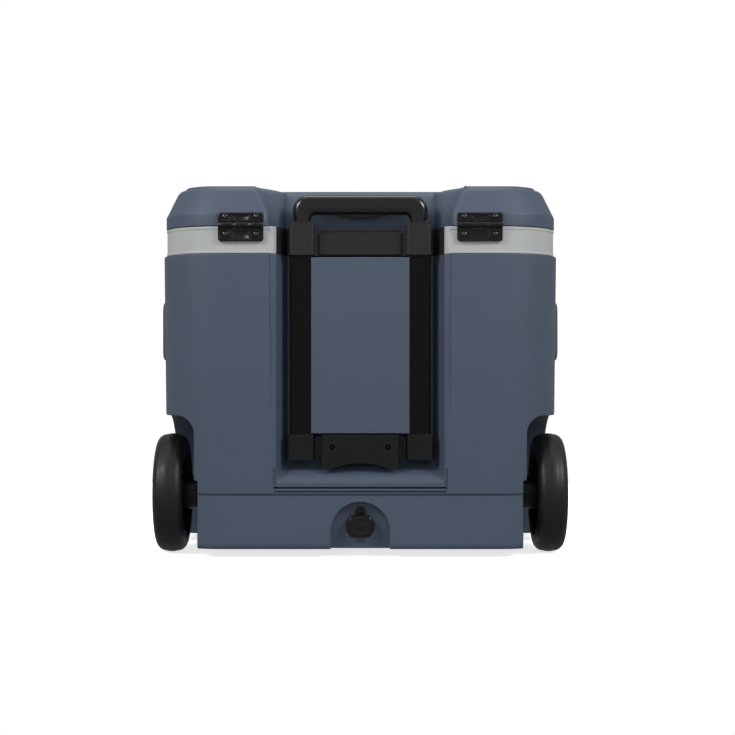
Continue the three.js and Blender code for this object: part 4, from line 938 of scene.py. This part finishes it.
def upperBracket():
    low, high = span("upper_bracket")
    x, crossTop, crossFront = handleMiddle.x, bracket["crossTop"], backY + bracket["crossFront"]
    collarZ = bracket["collarBottom"]
    collar = prism("handle_collar", roundedOutline(18, 16.5, 5, 3, x, recessWallY - 16.5), collarZ, high.z)
    weld(collar, mirroredCopy(collar, "collar_left"))
    face = [(crossFront + 2.4, low.z + 0.8), (crossFront, low.z + 3.2), (crossFront, crossTop - 5),
            (crossFront + 3, crossTop - 3), (crossFront + 3, crossTop), (recessWallY, crossTop),
            (recessWallY, low.z + 0.8)]
    cross = prism("cross_plate", face, -x, x, toX)
    grooves = [blockBetween(name, (side * at - half, crossFront - 2, low.z - 2),
                            (side * at + half, crossFront + deep, crossTop + up))
               for name, at, half, deep, up in (("plate_groove", 57.4, 0.7, 1.6, -6), ("plate_step", 62, 3.9, 2.2, 2))
               for side in (-1, 1)]
    grooves.append(blockBetween("plate_top", (-57, crossFront - 2, crossTop - 5.2),
                                (57, crossFront + 5, crossTop - 1.4)))
    weld(collar, cutAway(cross, *grooves))
    midLow, midHigh = span("middle_tube_right")
    halfX, halfY = (midHigh.x - midLow.x) / 2 + 0.4, (midHigh.y - midLow.y) / 2 + 0.4
    cutters = []
    for side in (-1, 1):
        bore = roundedOutline(halfX, halfY, 2.4, 4, side * x, handleMiddle.y)
        cutters.append(prism("tube_bore", bore, low.z - 3, high.z + 3))
        cutters.append(blockBetween("rail_room", (side * x - 17.75, backY, low.z - 3),
                                    (side * x + 17.75, recessWallY + 3, collarZ)))
    return roundEdges(cutAway(collar, *cutters), 0.6, 2, 35, False)


show(smoothShade(upperBracket()), "tub", charcoalNylon, "charcoal_plastic", "upper_bracket")


def lowerBracket():
    low, high = span("lower_bracket")
    front, plateHalf, lobe = backY + bracket["plateFront"], bracket["plateHalf"], bracket["lobe"]
    bottom, arch, blockZ = bracket["plateBottom"], bracket["arch"], bracket["blockBottom"]
    curve = bezierPoints((-plateHalf, bottom + lobe), (-plateHalf, bottom + 2), (-plateHalf + 2, bottom),
                         (-plateHalf + lobe, bottom), 6)
    curve += bezierPoints(curve[-1], (-plateHalf * 0.6, bottom + 2), (-plateHalf * 0.5, arch), (0, arch), 12)
    outline = [(0, high.z), (-plateHalf, high.z), (-plateHalf, bottom + lobe)] + curve
    outline += [(-x, z) for x, z in reversed(outline[1:-1])]
    plate = prism("bracket_plate", outline, front, recessWallY, toY)
    behind = blockBetween("plate_room", (-plateHalf - 2, front + 6, bottom - 2),
                          (plateHalf + 2, recessWallY + 2, blockZ))
    cutAway(plate, behind)
    blockOutline = roundedOutline(18.5, 15.5, 3, 4, handleMiddle.x + 1.5, recessWallY - 15.5)
    block = prism("bracket_block", blockOutline, blockZ, high.z)
    twin = mirroredCopy(block, "bracket_block_left")
    link = blockBetween("bracket_link", (-handleMiddle.x, backY + 30, blockZ + 2),
                        (handleMiddle.x, recessWallY - 0.1, high.z - 2))
    weld(plate, block, twin, link)
    holes = []
    for side in (-1, 1):
        x, z = side * bracket["screwX"], bracket["screwZ"]
        holes.append(roundBar("screw_hole", 2.1, front - 2, recessWallY + 2, toY, x, z, 20))
        holes.append(roundBar("screw_seat", 3.9, front - 2, front + 10, toY, x, z, 32))
    return roundEdges(cutAway(plate, *holes), 1, 3, 35, False)


show(smoothShade(lowerBracket()), "tub", blackAbs, "black_plastic", "lower_bracket")
print("handle made")


# The hinges and screws.

hinge = {"axisY": -229.5, "axisZ": 462.5, "lowerFaceY": -228.5, "upperThick": 4, "knuckle": 4, "screwX": 21.5,
         "lowerScrewZ": 450, "upperScrewZ": 474.5}


def leafHoles(middle, faceY, backFaceY, z):
    return [roundBar("leaf_hole", 2.1, faceY - 2, backFaceY + 2, toY, middle + side * hinge["screwX"], z, 20)
            for side in (-1, 1)]


def lowerLeaf():
    low, high = span("hinge_lower_leaf_right")
    middle, half = (low.x + high.x) / 2, (high.x - low.x) / 2
    faceY, backFaceY, axisY, axisZ = hinge["lowerFaceY"], high.y, hinge["axisY"], hinge["axisZ"]
    corner = 4
    bottom = arcPoints(middle - half + corner, low.z + corner, corner, 180, 270, 6)
    bottom += arcPoints(middle + half - corner, low.z + corner, corner, 270, 360, 6)
    leaf = prism("hinge_plate_lower", bottom + [(middle + half, 460.6), (middle - half, 460.6)], faceY, backFaceY, toY)
    pocket = prism("leaf_pocket", roundedOutline(11, 5.5, 1.5, 4, middle, 449), faceY - 2, faceY + 1.6, toY)
    inner = half / 3 + 0.3
    room = blockBetween("knuckle_room", (middle - inner, faceY - 2, axisZ - 4.6),
                        (middle + inner, backFaceY + 2, axisZ))
    cutAway(leaf, pocket, room)
    weld(leaf, *[roundBar("knuckle", hinge["knuckle"], middle + a, middle + b, toX, axisY, axisZ, 32)
                 for a, b in ((-half, -inner), (inner, half))])
    return cutAway(leaf, roundBar("pin_bore", 1.9, middle - half - 2, middle + half + 2, toX, axisY, axisZ, 24),
                   *leafHoles(middle, faceY, backFaceY, hinge["lowerScrewZ"]))


def upperLeaf():
    low, high = span("hinge_upper_leaf_right")
    middle, half = (low.x + high.x) / 2, (high.x - low.x) / 2
    faceY, backFaceY, axisY, axisZ = high.y - hinge["upperThick"], high.y, hinge["axisY"], hinge["axisZ"]
    corner = 2.5
    top = arcPoints(middle + half - corner, high.z - corner, corner, 0, 90, 5)
    top += arcPoints(middle - half + corner, high.z - corner, corner, 90, 180, 5)
    leaf = prism("hinge_plate_upper", [(middle - half, axisZ + 4.6), (middle + half, axisZ + 4.6)] + top, faceY,
                 backFaceY, toY)
    reach = half / 3
    weld(leaf, blockBetween("leaf_web", (middle - reach, faceY + 0.1, axisZ + 0.5),
                            (middle + reach, backFaceY - 0.1, high.z - 5)),
         roundBar("knuckle", hinge["knuckle"], middle - reach, middle + reach, toX, axisY, axisZ, 32))
    window = [(middle - 8, 469.6), (middle + 8, 469.6), (middle + 11.5, 477), (middle - 11.5, 477)]
    return cutAway(leaf, prism("leaf_window", window, faceY - 2, faceY + 2.4, toY),
                   roundBar("pin_bore", 2, middle - half, middle + half, toX, axisY, axisZ, 24),
                   *leafHoles(middle, faceY, backFaceY, hinge["upperScrewZ"]))


lowerPlate = smoothShade(roundEdges(lowerLeaf(), 0.5, 2, 40, False))
bothSides(lowerPlate, "hinge_plate_lower", "tub", blackAbs, "black_plastic", "hinge_lower_leaf")
upperPlate = smoothShade(roundEdges(upperLeaf(), 0.5, 2, 40, False))
bothSides(upperPlate, "hinge_plate_upper", "lid", blackAbs, "black_plastic", "hinge_upper_leaf")


# A domed cross-recess screw that stands where a CAD screw stands.
def domedScrew(node, name):
    low, high = span(node)
    x, z, face = (low.x + high.x) / 2, (low.z + high.z) / 2, low.y
    radius = (high.x - low.x) / 2
    profile = [(0, high.y), (1.4, high.y), (1.8, high.y - 0.8), (1.8, face + 1.6), (radius, face + 1.6),
               (radius, face + 1.1), (radius * 0.86, face + 0.45), (radius * 0.5, face + 0.08), (0, face)]
    screw = spun(name, profile, (x, 0, z), "Y", steps=32)
    arms = [blockBetween("slot", (x - a, face - 1, z - b), (x + a, face + 0.9, z + b)) for a, b in ((2, 0.4), (0.4, 2))]
    return smoothShade(roundEdges(cutAway(screw, *arms), 0.12, 2, 50))


screw = domedScrew("lower_screw_right_a", "screw_model")
home = span("lower_screw_right_a")[0]
for node, body in [(row + "_screw_" + side + "_" + end, body) for row, body in (("lower", "tub"), ("upper", "lid"))
                   for side in ("left", "right") for end in "ab"]:
    spot = span(node)[0]
    show(movedCopy(screw, node + "_domed", spot - home), body, darkScrew, "zinc_steel", node)
for side in ("left", "right"):
    seat = domedScrew("plate_screw_" + side, "plate_screw_domed_" + side)
    show(seat, "tub", blackAbs, "zinc_steel", "plate_screw_" + side)
bpy.data.objects.remove(screw)


# The drain.

def capOutline(inset):
    low, high = span("drain_cap")
    radius, flat, z = (high.x - low.x) / 2 - inset, (high.z - low.z) / 2 - inset, (high.z + low.z) / 2
    reach = math.degrees(math.asin(flat / radius))
    return arcPoints(0, z, radius, -reach, reach, 14) + arcPoints(0, z, radius, 180 - reach, 180 + reach, 14)


def drainCap():
    low, high = span("drain_cap")
    z = (high.z + low.z) / 2
    levels = [(low.y, 3.2), (low.y + 0.5, 1.6), (low.y + 1.6, 0.4), (low.y + 3, 0), (high.y - 1, 0), (high.y, 0.8)]
    cap = stack("drain_screw_cap", [(y, capOutline(inset)) for y, inset in levels], toY)
    dish = roundBar("cap_dish", 10.5, low.y - 2, low.y + 1.2, toY, 0, z, 48)
    bar = prism("cap_bar", roundedOutline(9, 2.2, 1.5, 4, 0, z), low.y + 0.3, low.y + 2.5, toY)
    weld(cutAway(cap, dish), bar)
    return roundEdges(cutAway(cap, roundBar("cap_thread", 9.3, high.y - 6, high.y + 2, toY, 0, z, 40)), 0.5, 2, 50)


show(smoothShade(drainCap()), "drain_cap_body", blackAbs, "black_plastic", "drain_cap")


def drainStrap():
    low, high = span("drain_strap")
    half = (high.x - low.x) / 2
    back, front = high.y, high.y - 2
    outline = [(half, 55)] + arcPoints(0, high.z - half + 2, half, 0, 180, 16) + [(-half, 55)]
    strap = prism("drain_tether", outline, front, back, toY)
    stud = spun("tether_stud", [(0, back - 0.5), (3, back - 0.5), (3, front - 0.6), (2.2, low.y), (0, low.y)],
                (0, 0, 63), "Y", steps=32)
    ring = roundBar("tether_gap", 14.3, front - 2, back + 2, toY, 0, drain["capZ"], 48)
    return roundEdges(cutAway(weld(strap, stud), ring), 0.4, 2, 50)


show(smoothShade(drainStrap()), "tub", blackAbs, "black_plastic", "drain_strap")

# The parts that stay hidden or nearly so keep their own shapes.
keptFinish = {blackAbs: ["drain_spout"], sealRubber: ["drain_washer"], pourFoam: ["foam_insulation", "lid_foam"],
              zincPlate: [name + "_" + side for side in ("left", "right")
                          for name in ("axle_bush", "stub_axle", "axle_nut", "hinge_pin", "release_rod")]}
for finish, names in keptFinish.items():
    for name in names:
        kept = frame["nodes"][name]
        kept.data.materials.clear()
        kept.data.materials.append(finish)
print("hinges, screws and drain made")
